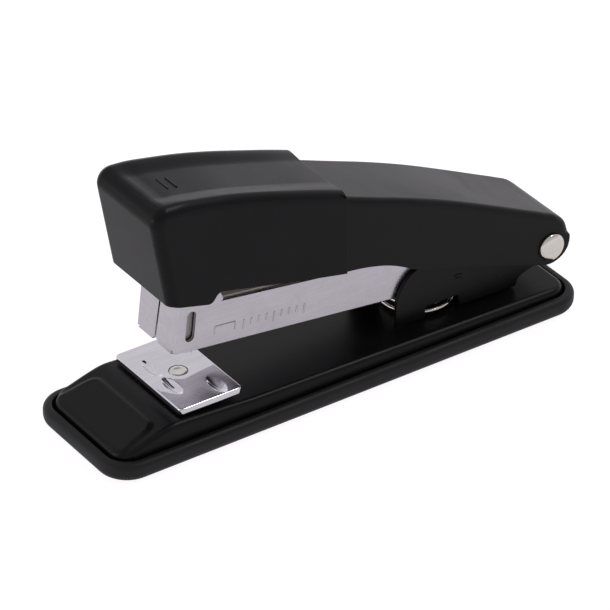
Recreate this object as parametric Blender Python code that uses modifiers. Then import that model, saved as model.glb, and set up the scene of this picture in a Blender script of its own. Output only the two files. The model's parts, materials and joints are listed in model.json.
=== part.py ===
"""Half-strip desk stapler with a lifting handle: an assembly of separate pieces, in metres, +Z up.

+X runs from the staple outlet to the hinge, and the origin is the centre of the sole's underside.
Lengths below are in millimetres and are scaled by MM where the meshes are made.
"""

import math

import bmesh
import bpy
from mathutils import Vector

MM = 0.001
GAP = 0.3

# sole and pressed base plate
BASE_L = 123.6
BASE_W = 34.6
BASE_R = 7.3
RIM_H = 4.6
POCKET_INSET = 1.6
POCKET_Z = 1.6
PLATE_INSET = 2.2
PLATE_Z = 1.9
PLATE_T = 1.0
TOP_KNOTS = [(-61.0, 4.6), (-56.0, 6.1), (-49.2, 8.15), (-45.5, 9.0), (-25.0, 7.75), (62.0, 5.67)]

# turning anvil
ANVIL_X = -35.05
ANVIL_L = 15.9
ANVIL_W = 25.8
ANVIL_Z = 9.35
ANVIL_T = 1.5
STUD_R = 1.5

# hinge axis and rest angle of the magazine
PIVOT_X = 56.35
PIVOT_Z = 14.7
MAG_TILT = math.radians(6.65)
PIN_R = 1.6
RUN = 0.08
BRACKET_HALF = 8.95
BRACKET_T = 0.9
RIVET_XS = (38.9, 44.8)

# magazine channel, in millimetres from the hinge axis along the channel
MAG_HALF = 7.75
MAG_T = 1.0
MAG_FLOOR = -4.82
NOSE_X = -97.2

# staple rail, rod and pusher, in the same frame
RAIL_HALF = 5.6
RAIL_T = 0.8
RAIL_TOP = 1.9
RAIL_BOTTOM = -3.5
RAIL_FRONT = -93.9
RAIL_REAR = -7.0
ROD_Z = -1.4
ROD_R = 0.9
CROSS_X = -11.6
LEAF_RIVET_X = -8.7

# handle and cap, in millimetres from the hinge axis
HANDLE_HALF = 10.45
HANDLE_T = 1.0
CAP_HALF = 12.0
CAP_WALL = 1.9
SEAM_X = 0.5
SCREW_XS = (-31.0, -16.0)

# driver blade, radii about the hinge
BLADE_R = 95.0
BLADE_TIP = 3.4

# lift spring
LIFT_X = 27.3
LIFT_R = 8.4
LIFT_R_TOP = 7.3
LIFT_WIRE = 0.45
LIFT_TURNS = 3.4


for old in list(bpy.data.objects):
    bpy.data.objects.remove(old, do_unlink=True)

stapler = bpy.data.collections.new("stapler")
cutters = bpy.data.collections.new("cutters")
bpy.context.scene.collection.children.link(stapler)
bpy.context.scene.collection.children.link(cutters)


def material(name, colour, metallic, roughness):
    mat = bpy.data.materials.new(name)
    mat.use_nodes = True
    bsdf = mat.node_tree.nodes["Principled BSDF"]
    bsdf.inputs["Base Color"].default_value = (*colour, 1.0)
    bsdf.inputs["Metallic"].default_value = metallic
    bsdf.inputs["Roughness"].default_value = roughness
    return mat


def axis_empty(name, x, z, tilt, parent=None):
    empty = bpy.data.objects.new(name, None)
    empty.location = (x * MM, 0.0, z * MM)
    empty.rotation_euler = (0.0, tilt, 0.0)
    empty.parent = parent
    stapler.objects.link(empty)
    return empty


def link(obj, parent, look):
    """A piece goes in the stapler collection with its own material, a cutter in the other."""
    obj.parent = parent
    if look is None:
        cutters.objects.link(obj)
        obj.hide_render = True
        obj.display_type = "WIRE"
    else:
        stapler.objects.link(obj)
        obj.data.materials.append(material("mat_" + obj.name, *look))
    return obj


def box(name, lo, hi, parent=None, look=None):
    mesh = bpy.data.meshes.new(name)
    bm = bmesh.new()
    bmesh.ops.create_cube(bm, size=1.0)
    bmesh.ops.scale(bm, vec=[(h - l) * MM for l, h in zip(lo, hi)], verts=bm.verts)
    bm.to_mesh(mesh)
    bm.free()
    obj = bpy.data.objects.new(name, mesh)
    obj.location = [(l + h) / 2 * MM for l, h in zip(lo, hi)]
    return link(obj, parent, look)


def drawn_out(name, outline, start, end, across, parent=None, look=None):
    """A flat outline extruded along one axis: Y from X-Z points, Z from X-Y points, X from Y-Z points."""
    curve = bpy.data.curves.new(name, "CURVE")
    curve.dimensions = "2D"
    curve.fill_mode = "BOTH"
    curve.extrude = (end - start) / 2 * MM
    line = curve.splines.new("POLY")
    line.points.add(len(outline) - 1)
    for point, (u, v) in zip(line.points, outline):
        point.co = (u * MM, v * MM, 0.0, 1.0)
    line.use_cyclic_u = True
    drawing = bpy.data.objects.new(name + "_outline", curve)
    turn, direction = {
        "Y": ((math.pi / 2, 0.0, 0.0), (0.0, 1.0, 0.0)),
        "Z": ((0.0, 0.0, 0.0), (0.0, 0.0, 1.0)),
        "X": ((math.pi / 2, 0.0, math.pi / 2), (1.0, 0.0, 0.0)),
    }[across]
    drawing.rotation_euler = turn
    drawing.location = Vector(direction) * (start + end) / 2 * MM
    bpy.context.scene.collection.objects.link(drawing)
    bpy.context.view_layer.update()
    graph = bpy.context.evaluated_depsgraph_get()
    mesh = bpy.data.meshes.new_from_object(drawing.evaluated_get(graph))
    bm = bmesh.new()
    bm.from_mesh(mesh)
    bmesh.ops.remove_doubles(bm, verts=bm.verts[:], dist=1e-7)
    bmesh.ops.recalc_face_normals(bm, faces=bm.faces[:])
    bm.to_mesh(mesh)
    bm.free()
    obj = bpy.data.objects.new(name, mesh)
    obj.matrix_world = drawing.matrix_world
    bpy.data.objects.remove(drawing, do_unlink=True)
    return link(obj, parent, look)


def turned(name, profile, axis, centre, parent=None, look=None, steps=24, ring=False):
    """Solid of revolution from (radius, position along the axis) pairs; a ring has a through hole."""
    if not ring:
        profile = [(0.0, profile[0][1])] + list(profile) + [(0.0, profile[-1][1])]
    if profile[0][1] < profile[-1][1] or ring:
        profile = list(reversed(profile))
    mesh = bpy.data.meshes.new(name)
    edges = [(i, i + 1) for i in range(len(profile) - 1)]
    if ring:
        edges.append((len(profile) - 1, 0))
    mesh.from_pydata([(r * MM, 0.0, along * MM) for r, along in profile], edges, [])
    obj = bpy.data.objects.new(name, mesh)
    obj.rotation_euler = {
        "X": (0.0, math.pi / 2, 0.0),
        "Y": (-math.pi / 2, 0.0, 0.0),
        "Z": (0.0, 0.0, 0.0),
    }[axis]
    obj.location = Vector(centre) * MM
    screw = obj.modifiers.new("turn", "SCREW")
    screw.steps = steps
    screw.render_steps = steps
    screw.use_merge_vertices = True
    screw.merge_threshold = 0.00001
    return link(obj, parent, look)


def bore(name, radius, axis, centre, span, parent=None, steps=24):
    return turned(name, [(radius, span[0]), (radius, span[1])], axis, centre, parent, None, steps)


def coil(name, path, wire, parent, look):
    curve = bpy.data.curves.new(name, "CURVE")
    curve.dimensions = "3D"
    curve.bevel_depth = wire * MM
    curve.bevel_resolution = 2
    curve.use_fill_caps = True
    line = curve.splines.new("POLY")
    line.points.add(len(path) - 1)
    for point, place in zip(line.points, path):
        point.co = (place[0] * MM, place[1] * MM, place[2] * MM, 1.0)
    return link(bpy.data.objects.new(name, curve), parent, look)


def cut(obj, cutter):
    mod = obj.modifiers.new("cut_" + cutter.name, "BOOLEAN")
    mod.operation = "DIFFERENCE"
    mod.solver = "EXACT"
    mod.object = cutter
    return mod


def join(obj, other):
    mod = obj.modifiers.new("join_" + other.name, "BOOLEAN")
    mod.operation = "UNION"
    mod.solver = "EXACT"
    mod.object = other
    return mod


def soften(obj, width, segments=2, angle=40.0):
    mod = obj.modifiers.new("soft_edge", "BEVEL")
    mod.width = width * MM
    mod.segments = segments
    mod.limit_method = "ANGLE"
    mod.angle_limit = math.radians(angle)
    return mod


def arc(cx, cz, radius, a0, a1, steps):
    span = [a0 + (a1 - a0) * i / steps for i in range(steps + 1)]
    return [(cx + radius * math.cos(math.radians(a)), cz + radius * math.sin(math.radians(a))) for a in span]


def turn_steps(count):
    return [2.0 * math.pi * i / count for i in range(count)]


def on_knots(knots, x):
    for (x0, z0), (x1, z1) in zip(knots, knots[1:]):
        if x <= x1:
            return z0 + (z1 - z0) * (x - x0) / (x1 - x0)
    return knots[-1][1]


def plate_top(x):
    return on_knots(TOP_KNOTS, x)


def from_pivot(outline):
    return [(x - PIVOT_X, z - PIVOT_Z) for x, z in outline]


def base_ring(inset, height):
    """Rounded rectangle, one side then its mirror, so that a cap can be made of cross strips."""
    a = BASE_L / 2 - inset
    b = BASE_W / 2 - inset
    r = max(BASE_R - inset, 1.0)
    side = arc(a - r, b - r, r, 0.0, 90.0, 5)
    side += [(x, b) for x in (40.0, 10.0, -26.0, -45.5, -49.2)]
    side += arc(-a + r, b - r, r, 90.0, 180.0, 5)
    ring = side + [(x, -y) for x, y in reversed(side)]
    return [(x, y, height(x)) for x, y in ring]


def ring_stack(name, rings, look, parent=None):
    """Rings of equal count joined in turn, the first and last closed by cross strips."""
    n = len(rings[0])
    points = [p for ring in rings for p in ring]
    faces = []
    for i in range(len(rings) - 1):
        for k in range(n):
            j = (k + 1) % n
            faces.append((i * n + k, i * n + j, (i + 1) * n + j, (i + 1) * n + k))
    for start in (0, (len(rings) - 1) * n):
        for k in range(n // 2 - 1):
            faces.append((start + k, start + k + 1, start + n - 2 - k, start + n - 1 - k))
    mesh = bpy.data.meshes.new(name)
    mesh.from_pydata([Vector(p) * MM for p in points], [], faces)
    bm = bmesh.new()
    bm.from_mesh(mesh)
    bmesh.ops.recalc_face_normals(bm, faces=bm.faces[:])
    bm.to_mesh(mesh)
    bm.free()
    return link(bpy.data.objects.new(name, mesh), parent, look)


BLACK_PAINT = ((0.012, 0.012, 0.013), 0.0, 0.35)
BLACK_PLASTIC = ((0.015, 0.014, 0.015), 0.0, 0.45)
BLACK_SOFT = ((0.018, 0.018, 0.019), 0.0, 0.6)
NICKEL = ((0.62, 0.6, 0.6), 1.0, 0.28)
CHROME = ((0.75, 0.75, 0.76), 1.0, 0.08)
STEEL = ((0.5, 0.49, 0.47), 1.0, 0.35)

magazine_axis = axis_empty("magazine_axis", PIVOT_X, PIVOT_Z, MAG_TILT)
pusher_axis = axis_empty("pusher_axis", 0.0, 0.0, 0.0, magazine_axis)
handle_axis = axis_empty("handle_axis", PIVOT_X, PIVOT_Z, 0.0)


def build_sole():
    steps = [(2.0, 0.0), (0.64, 0.35), (0.12, 1.2), (0.0, 2.2), (0.0, 3.4)]
    steps += [(0.22, 4.15), (0.75, RIM_H), (1.2, 4.5), (POCKET_INSET, 4.1), (POCKET_INSET, POCKET_Z)]
    rings = [base_ring(inset, lambda x, z=z: z) for inset, z in steps]
    sole = ring_stack("base_pad", rings, BLACK_SOFT)
    cut(sole, bore("pad_finger_hole", 6.5, "Z", (ANVIL_X, 0.0, 0.0), (-1.0, 3.0)))


def build_plate():
    def up(share, drop=0.0):
        return lambda x: PLATE_Z + (plate_top(x) - drop - PLATE_Z) * share

    rings = [base_ring(5.0, up(1.0, PLATE_T))]
    rings += [base_ring(4.2, up(0.92, PLATE_T)), base_ring(3.4, up(0.6, PLATE_T)), base_ring(3.2, up(0.0))]
    rings += [base_ring(PLATE_INSET, up(0.0)), base_ring(2.25, up(0.55)), base_ring(2.6, up(0.82))]
    rings += [base_ring(3.1, up(0.95)), base_ring(3.8, up(1.0))]
    plate = ring_stack("base_plate", rings, BLACK_PAINT)
    holes = [("stud", ANVIL_X, STUD_R + RUN), ("front", RIVET_XS[0], 1.5), ("rear", RIVET_XS[1], 1.5)]
    for name, x, radius in holes:
        cut(plate, bore("plate_hole_" + name, radius, "Z", (x, 0.0, 0.0), (-2.0, 14.0)))


def build_anvil():
    z0 = ANVIL_Z
    z1 = ANVIL_Z + ANVIL_T
    a = ANVIL_L / 2 - 1.0
    b = ANVIL_W / 2 - 1.0
    corners = [(a, b, 0), (-a, b, 90), (-a, -b, 180), (a, -b, 270)]
    outline = [p for x, y, turn in corners for p in arc(ANVIL_X + x, y, 1.0, turn, turn + 90, 3)]
    anvil = drawn_out("anvil", outline, z0, z1, "Z", None, CHROME)
    soften(anvil, 0.35, 2, 60.0)
    cut(anvil, bore("anvil_hole", 2.3, "Z", (ANVIL_X, 0.0, 0.0), (z0 - 2.0, z1 + 2.0)))
    pockets = [(-4.2, -4.6, 3.9), (-4.2, 4.6, 3.9), (4.2, -8.2, 3.4), (4.2, 8.2, 3.4)]
    for i, (dx, dy, half) in enumerate(pockets):
        ring = [(ANVIL_X + dx + 1.5 * math.cos(t), dy + half * math.sin(t)) for t in turn_steps(16)]
        cut(anvil, drawn_out("anvil_pocket_%d" % i, ring, z1 - 0.7, z1 + 1.0, "Z"))
    stud = [(2.6, 1.3), (2.6, 2.1), (STUD_R, 2.1), (STUD_R, z0 + 0.2)]
    stud += [(2.0, z0 + 0.3), (2.0, z1 - 0.15), (1.8, z1)]
    turned("anvil_stud", stud, "Z", (ANVIL_X, 0.0, 0.0), None, NICKEL)
    button = [(1.8, 2.4), (4.6, 2.4), (4.6, 3.4), (1.8, 3.4)]
    turned("anvil_button", button, "Z", (ANVIL_X, 0.0, 0.0), None, STEEL, 24, True)
    turns = 3
    path = []
    for i in range(turns * 12 + 1):
        a = 2.0 * math.pi * i / 12
        path.append((ANVIL_X + 3.2 * math.cos(a), 3.2 * math.sin(a), 4.1 + 2.4 * i / (turns * 12)))
    coil("anvil_spring", path, 0.35, None, STEEL)


def build_bracket():
    def foot(x):
        return plate_top(x) + GAP

    cheek = [(15.6, foot(15.6)), (15.6, 14.2), (16.6, 16.4), (18.2, 18.7), (20.4, 20.3), (26.0, 21.2)]
    cheek += [(36.0, 20.8), (46.0, 19.7), (53.0, 18.6)]
    cheek += arc(PIVOT_X, PIVOT_Z, 4.1, 95.0, -90.0, 10)
    cheek += [(52.4, 9.9), (50.2, 9.3), (48.4, 8.2), (48.0, foot(48.0))]
    cheek += [(32.6, foot(32.6)), (32.2, 9.7), (31.4, 10.1), (24.2, 10.1), (23.4, 9.7), (23.4, foot(23.4))]
    half = BRACKET_HALF
    bracket = drawn_out("hinge_bracket", cheek, -half, half, "Y", None, BLACK_PAINT)
    inner = [(0.0, 0.0), (36.3, 0.0), (36.3, 7.2), (36.7, foot(36.7) + 1.0), (70.0, foot(70.0) + 1.0)]
    inner += [(70.0, 40.0), (0.0, 40.0)]
    half = BRACKET_HALF - BRACKET_T
    cut(bracket, drawn_out("bracket_channel", inner, -half, half, "Y"))
    cut(bracket, bore("bracket_pin_hole", PIN_R + RUN, "Y", (PIVOT_X, 0.0, PIVOT_Z), (-12.0, 12.0)))
    for name, x in zip(("front", "rear"), RIVET_XS):
        top = foot(x) + 1.0
        cut(bracket, bore("bracket_hole_" + name, 1.5, "Z", (x, 0.0, 0.0), (0.0, 14.0)))
        rivet = [(2.3, foot(x) - 2.4), (2.3, foot(x) - 1.75), (1.2, foot(x) - 1.75), (1.2, top + 0.25)]
        rivet += [(2.3, top + 0.25), (2.1, top + 0.7), (1.3, top + 0.9)]
        turned("bracket_rivet_" + name, rivet, "Z", (x, 0.0, 0.0), None, STEEL, 16)


def build_lift_spring():
    """Both ends are flat turns: a wide one on the sloping plate, and a narrower one under the channel."""
    z0 = plate_top(LIFT_X) + GAP + 0.15 + LIFT_WIRE
    z1 = 12.15 - LIFT_WIRE
    count = int(LIFT_TURNS * 24)
    path = []
    for i in range(count + 1):
        a = 2.0 * math.pi * i / 24 + 0.6
        rise = min(max((i - 6) / (count - 12), 0.0), 1.0)
        radius = LIFT_R + (LIFT_R_TOP - LIFT_R) * min(rise / 0.65, 1.0)
        lean = (-0.023 - 0.10 * rise) * radius * math.cos(a)
        z = z0 + (z1 - z0) * rise + lean
        path.append((LIFT_X + radius * math.cos(a), radius * math.sin(a), z))
    coil("lift_spring", path, LIFT_WIRE, None, NICKEL)


def build_magazine():
    wall = [(NOSE_X, -5.3), (-94.4, -5.3), (-94.1, MAG_FLOOR), (-6.0, MAG_FLOOR)]
    wall += arc(0.0, 0.0, 4.0, -100.0, 80.0, 8)
    wall += [(-10.0, 4.9), (-16.0, 5.2), (-60.0, 5.2), (-85.8, 5.5), (-87.6, 9.2), (-96.6, 9.2)]
    wall += [(NOSE_X, 8.6)]
    mag = drawn_out("magazine_channel", wall, -MAG_HALF, MAG_HALF, "Y", magazine_axis, NICKEL)
    front = NOSE_X + MAG_T
    floor = MAG_FLOOR + MAG_T
    inner = [(front, floor), (-6.5, floor), (-6.0, -6.5), (10.0, -6.5), (10.0, 20.0), (front, 20.0)]
    half = MAG_HALF - MAG_T
    cut(mag, drawn_out("magazine_inside", inner, -half, half, "Y", magazine_axis))
    cut(mag, box("staple_outlet", (front, -half, -8.0), (-93.5, half, 0.0), magazine_axis))
    cut(mag, box("nose_slit", (NOSE_X - 1.0, -0.25, -8.0), (-95.0, 0.25, 14.0), magazine_axis))
    cut(mag, box("nose_notch", (NOSE_X - 1.0, -1.6, -8.0), (-95.0, 1.0, -4.6), magazine_axis))
    slot = arc(-93.65, 3.8, 1.2, 0.0, 180.0, 5) + arc(-93.65, -1.4, 1.2, 180.0, 360.0, 5)
    cut(mag, drawn_out("side_slots", slot, -10.0, 10.0, "Y", magazine_axis))
    cut(mag, bore("magazine_pin_hole", PIN_R + RUN, "Y", (0, 0, 0), (-12.0, 12.0), magazine_axis))
    cut(mag, bore("cross_pin_hole", 1.25, "Y", (CROSS_X, 0, 0), (-12.0, 12.0), magazine_axis, 16))


def build_rail():
    out = RAIL_HALF
    inner = RAIL_HALF - RAIL_T
    under = RAIL_TOP - RAIL_T
    section = [(-out, RAIL_BOTTOM), (-out, RAIL_TOP - 0.5), (-out + 0.5, RAIL_TOP), (out - 0.5, RAIL_TOP)]
    section += [(out, RAIL_TOP - 0.5), (out, RAIL_BOTTOM), (inner, RAIL_BOTTOM), (inner, under)]
    section += [(-inner, under), (-inner, RAIL_BOTTOM)]
    rail = drawn_out("staple_rail", section, RAIL_FRONT, RAIL_REAR, "X", magazine_axis, STEEL)
    cut(rail, box("rail_slot", (-90.6, -1.5, 0.0), (-30.0, 1.5, 5.0), magazine_axis))
    cut(rail, bore("rail_cross_hole", 1.25, "Y", (CROSS_X, 0, 0), (-12.0, 12.0), magazine_axis, 16))
    cut(rail, bore("rail_rivet_hole", 0.95, "Z", (LEAF_RIVET_X, 0, 0), (0.0, 6.0), magazine_axis, 16))
    pin = [(0.95, -7.7), (0.95, 7.7)]
    turned("rail_cross_pin", pin, "Y", (CROSS_X, 0, 0), magazine_axis, STEEL, 16)
    for name, x0, x1 in (("rod_block_front", -93.6, -91.4), ("rod_block_rear", -17.0, -14.5)):
        block = box(name, (x0, -4.4, -3.4), (x1, 4.4, 0.7), magazine_axis, STEEL)
        cut(block, bore(name + "_bore", ROD_R + 0.12, "X", (0, 0, ROD_Z), (x0 - 1, x1 + 1), magazine_axis, 16))
    turned("guide_rod", [(ROD_R, -93.4), (ROD_R, -14.0)], "X", (0.0, 0.0, ROD_Z), magazine_axis, STEEL, 16)


def build_pusher():
    """A saddle over the rail, with a stem through the rail's slot to a ring on the rod."""
    out = 6.3
    side = 5.9
    under = RAIL_TOP + GAP
    saddle = [(-out, -3.3), (-out, 2.7), (-5.7, 3.2), (5.7, 3.2), (out, 2.7), (out, -3.3), (side, -3.3)]
    saddle += [(side, under), (-side, under), (-side, -3.3)]
    pusher = drawn_out("pusher", saddle, -93.6, -84.0, "X", pusher_axis, STEEL)
    join(pusher, box("pusher_stem", (-90.0, -1.1, -2.6), (-87.0, 1.1, 2.6), pusher_axis))
    ring = [(1.95, -90.6), (1.95, -87.0)]
    join(pusher, turned("pusher_ring", ring, "X", (0, 0, ROD_Z), pusher_axis, None, 16))
    cut(pusher, bore("pusher_bore", ROD_R + 0.1, "X", (0, 0, ROD_Z), (-100.0, -80.0), pusher_axis, 16))
    turns = 16
    length = 68.8
    path = []
    for i in range(turns * 10 + 1):
        a = 2.0 * math.pi * i / 10
        x = -86.4 + length * i / (turns * 10)
        path.append((x, 1.55 * math.cos(a), ROD_Z + 1.55 * math.sin(a)))
    coil("pusher_spring", path, 0.25, magazine_axis, STEEL)


def build_return_leaf():
    leaf = [(-86.9, 6.0), (-60.0, 5.75), (-22.0, 5.75), (-18.0, 5.2), (-14.0, 2.95), (-7.2, 2.95)]
    leaf += [(-7.2, 2.2), (-14.3, 2.2), (-18.4, 4.5), (-22.0, 5.05), (-60.0, 5.05), (-86.9, 5.3)]
    plate = drawn_out("return_leaf", leaf, -6.4, 6.4, "Y", magazine_axis, STEEL)
    cut(plate, bore("leaf_rivet_hole", 0.95, "Z", (LEAF_RIVET_X, 0, 0), (0.0, 6.0), magazine_axis, 16))
    rivet = [(1.3, 0.2), (1.3, 0.8), (0.7, 0.8), (0.7, 3.2), (1.4, 3.2), (1.1, 3.7)]
    turned("leaf_rivet", rivet, "Z", (LEAF_RIVET_X, 0.0, 0.0), magazine_axis, STEEL, 16)


def build_handle():
    top = [(-14.0, 51.0), (0.0, 46.6), (10.0, 42.9), (20.0, 39.25), (30.0, 35.15), (40.0, 30.5)]
    top += [(50.0, 25.7), (55.4, 23.2), (58.9, 21.4), (60.6, 19.6), (61.4, 17.4), (61.7, 14.9)]
    rear = [(61.2, 12.6), (59.9, 10.8), (57.9, 9.85), (55.7, 10.1)]
    under = [(42.5, 14.5), (28.9, 19.0), (19.0, 22.25), (16.0, 23.95), (12.6, 25.5), (8.7, 26.7), (4.8, 27.5)]
    under += [(-0.4, 28.2), (-14.0, 30.8)]
    half = HANDLE_HALF
    shell = drawn_out("handle_shell", from_pivot(top + rear + under), -half, half, "Y", handle_axis,
                      BLACK_PAINT)
    soften(shell, 1.7, 4, 62.0)
    inside = [(-20.0, 52.0), (0.0, 45.5), (10.0, 41.65), (20.0, 37.9), (30.0, 33.75), (40.0, 29.1)]
    inside += [(50.0, 24.3), (54.6, 22.0), (57.8, 20.4), (59.3, 19.2), (60.2, 17.2), (70.0, 17.2)]
    inside += [(70.0, -5.0), (-20.0, -5.0)]
    half = HANDLE_HALF - HANDLE_T
    cut(shell, drawn_out("handle_inside", from_pivot(inside), -half, half, "Y", handle_axis))
    front = [(-40.0, 70.0), (SEAM_X + GAP, 70.0), (SEAM_X + GAP, 0.0), (-40.0, 0.0)]
    cut(shell, drawn_out("handle_front_trim", from_pivot(front), -20.0, 20.0, "Y", handle_axis))
    trim = [(80.0, -20.0), (80.0, 5.0), (56.5, 9.75)] + under[:-1] + [(-20.0, 32.0), (-20.0, -20.0)]
    cut(shell, drawn_out("handle_under_trim", from_pivot(trim), -20.0, 20.0, "Y", handle_axis))
    cut(shell, bore("handle_pin_hole", PIN_R + RUN, "Y", (0, 0, 0), (-14.0, 14.0), handle_axis))
    tongue = [(4.0, 44.9), (0.0, 46.4), (-10.0, 49.75), (-20.0, 52.5), (-30.0, 54.4), (-38.0, 55.5)]
    tongue += [(x, z - HANDLE_T) for x, z in reversed(tongue)]
    join(shell, drawn_out("handle_tongue", from_pivot(tongue), -8.0, 8.0, "Y", handle_axis))
    for name, x in zip(("front", "rear"), SCREW_XS):
        hole = bore("tongue_hole_" + name, 1.5, "Z", (x - PIVOT_X, 0, -PIVOT_Z), (30.0, 60.0), handle_axis, 16)
        cut(shell, hole)


def build_cap():
    outer = [(-47.9, 57.9), (-45.4, 59.9), (-42.0, 59.95), (-35.0, 58.8), (-27.0, 57.1), (-20.0, 55.2)]
    outer += [(-12.0, 52.7), (-4.0, 50.1), (10.0, 45.0), (20.0, 41.0), (20.0, 10.0), (-41.5, 20.0)]
    cap = drawn_out("front_cap", from_pivot(outer), -CAP_HALF, CAP_HALF, "Y", handle_axis, BLACK_PLASTIC)
    soften(cap, 2.3, 4, 40.0)
    trim = [(-60.0, -10.0), (-60.0, 36.0), (-43.2, 36.0), (-34.6, 33.8), (-32.8, 34.6), (-31.8, 35.5)]
    trim += [(-29.5, 35.2), (-12.0, 31.3), (-3.0, 29.4), (6.0, 27.5), (6.0, -10.0)]
    cut(cap, drawn_out("cap_under_trim", from_pivot(trim), -20.0, 20.0, "Y", handle_axis))
    back = [(SEAM_X, -10.0), (SEAM_X, 80.0), (40.0, 80.0), (40.0, -10.0)]
    cut(cap, drawn_out("cap_back_trim", from_pivot(back), -20.0, 20.0, "Y", handle_axis))
    inside = [(-44.4, 54.6), (-42.0, 55.9), (-38.0, 55.85), (-30.0, 54.75), (-20.0, 52.85), (-10.0, 50.1)]
    inside += [(0.0, 46.8), (10.0, 43.2), (10.0, 0.0), (-41.0, 20.0), (-42.2, 36.4)]
    half = CAP_HALF - CAP_WALL
    cut(cap, drawn_out("cap_inside", from_pivot(inside), -half, half, "Y", handle_axis))
    for name, x, z, tip in zip(("front", "rear"), SCREW_XS, (52.75, 49.3), (56.6, 52.9)):
        place = (x - PIVOT_X, 0.0, -PIVOT_Z)
        screw = [(2.5, z - 0.8), (2.5, z), (1.1, z), (1.1, tip)]
        turned("cap_screw_" + name, screw, "Z", place, handle_axis, STEEL, 16)
        cut(cap, bore("cap_screw_bore_" + name, 1.35, "Z", place, (z - 6.0, tip + GAP), handle_axis, 16))


def build_driver():
    """The blade is an arc about the hinge, so it stays in its gap through the whole stroke."""
    leaf = [(20.0, 37.45), (10.0, 41.2), (8.2, 41.3), (-35.1, 41.9)]
    leaf += [(-35.1, 41.0), (8.0, 40.4), (10.0, 40.3), (20.0, 36.55)]
    drawn_out("driver_leaf", from_pivot(leaf), -5.5, 5.5, "Y", handle_axis, STEEL)
    tilt = math.degrees(MAG_TILT)
    tip = 180.0 - tilt - math.degrees(math.asin(BLADE_TIP / BLADE_R))
    root = 180.0 - tilt - 9.3
    outer = arc(0.0, 0.0, BLADE_R + 0.25, tip, root, 5)
    inner = arc(0.0, 0.0, BLADE_R - 0.3, root, tip, 5)
    drawn_out("driver_blade", outer + inner, -6.3, 6.3, "Y", handle_axis, STEEL)


def build_pin():
    head = [(3.3, 10.6), (3.25, 11.0), (2.7, 11.55), (1.7, 11.85), (0.6, 11.95)]
    profile = [(r, -y) for r, y in reversed(head)] + [(PIN_R, -10.6), (PIN_R, 10.6)] + head
    turned("hinge_pin", profile, "Y", (PIVOT_X, 0.0, PIVOT_Z), None, NICKEL)
    bush = [(PIN_R + RUN, -6.4), (3.0, -6.4), (3.0, 6.4), (PIN_R + RUN, 6.4)]
    turned("pivot_bush", bush, "Y", (0, 0, 0), magazine_axis, STEEL, 24, True)


build_sole()
build_plate()
build_anvil()
build_bracket()
build_lift_spring()
build_magazine()
build_rail()
build_pusher()
build_return_leaf()
build_handle()
build_cap()
build_driver()
build_pin()
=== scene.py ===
"""Half-strip desk stapler: finished pieces, finishes and studio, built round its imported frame.

The piece functions work in millimetres. Pieces of the base are drawn in the base's own frame, whose origin is
the centre of the sole's underside. Pieces of the magazine are drawn along the channel from the hinge axis.
"""

import json
import math

import bmesh
import bpy
from mathutils import Matrix, Vector


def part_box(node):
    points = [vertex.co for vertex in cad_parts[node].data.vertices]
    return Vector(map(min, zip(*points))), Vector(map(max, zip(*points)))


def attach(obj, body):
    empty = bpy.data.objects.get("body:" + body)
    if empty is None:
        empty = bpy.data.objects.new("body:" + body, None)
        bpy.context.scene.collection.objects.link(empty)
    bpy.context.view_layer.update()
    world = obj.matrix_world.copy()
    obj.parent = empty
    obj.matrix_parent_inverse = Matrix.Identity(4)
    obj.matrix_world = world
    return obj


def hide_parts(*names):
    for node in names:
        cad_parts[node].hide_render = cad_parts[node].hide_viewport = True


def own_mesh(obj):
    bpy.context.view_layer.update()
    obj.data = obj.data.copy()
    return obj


bl_info = {
    "name": "Desk Stapler",
    "version": (1, 0, 0),
    "blender": (4, 5, 0),
    "location": "View3D > Sidebar > Stapler",
    "description": "Builds the finished pieces of a jointed desk stapler and its studio",
    "category": "Add Mesh",
}

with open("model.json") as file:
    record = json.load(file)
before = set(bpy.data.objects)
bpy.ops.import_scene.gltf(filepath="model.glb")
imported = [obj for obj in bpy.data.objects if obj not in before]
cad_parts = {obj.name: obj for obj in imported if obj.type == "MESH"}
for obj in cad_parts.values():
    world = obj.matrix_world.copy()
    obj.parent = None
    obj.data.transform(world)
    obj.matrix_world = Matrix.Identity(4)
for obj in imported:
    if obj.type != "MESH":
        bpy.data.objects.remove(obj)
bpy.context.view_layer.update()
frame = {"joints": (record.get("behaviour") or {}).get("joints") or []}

MM = 0.001
NEAR = 1e-4
JOINTS = {joint["name"]: joint for joint in frame["joints"]}
HINGE = Vector(JOINTS["handle_hinge"]["pos_m"]) / MM
SLIDE = Vector(JOINTS["pusher_slide"]["axis"])
TURN = Vector(JOINTS["anvil_turn"]["pos_m"]) / MM
TILT = math.asin(-SLIDE.z)
WORLD = Matrix.Scale(MM, 4)
CHANNEL = WORLD @ Matrix.Translation(HINGE) @ Matrix.Rotation(TILT, 4, "Y")


# ---------------------------------------------------------------- sizes and colours

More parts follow.
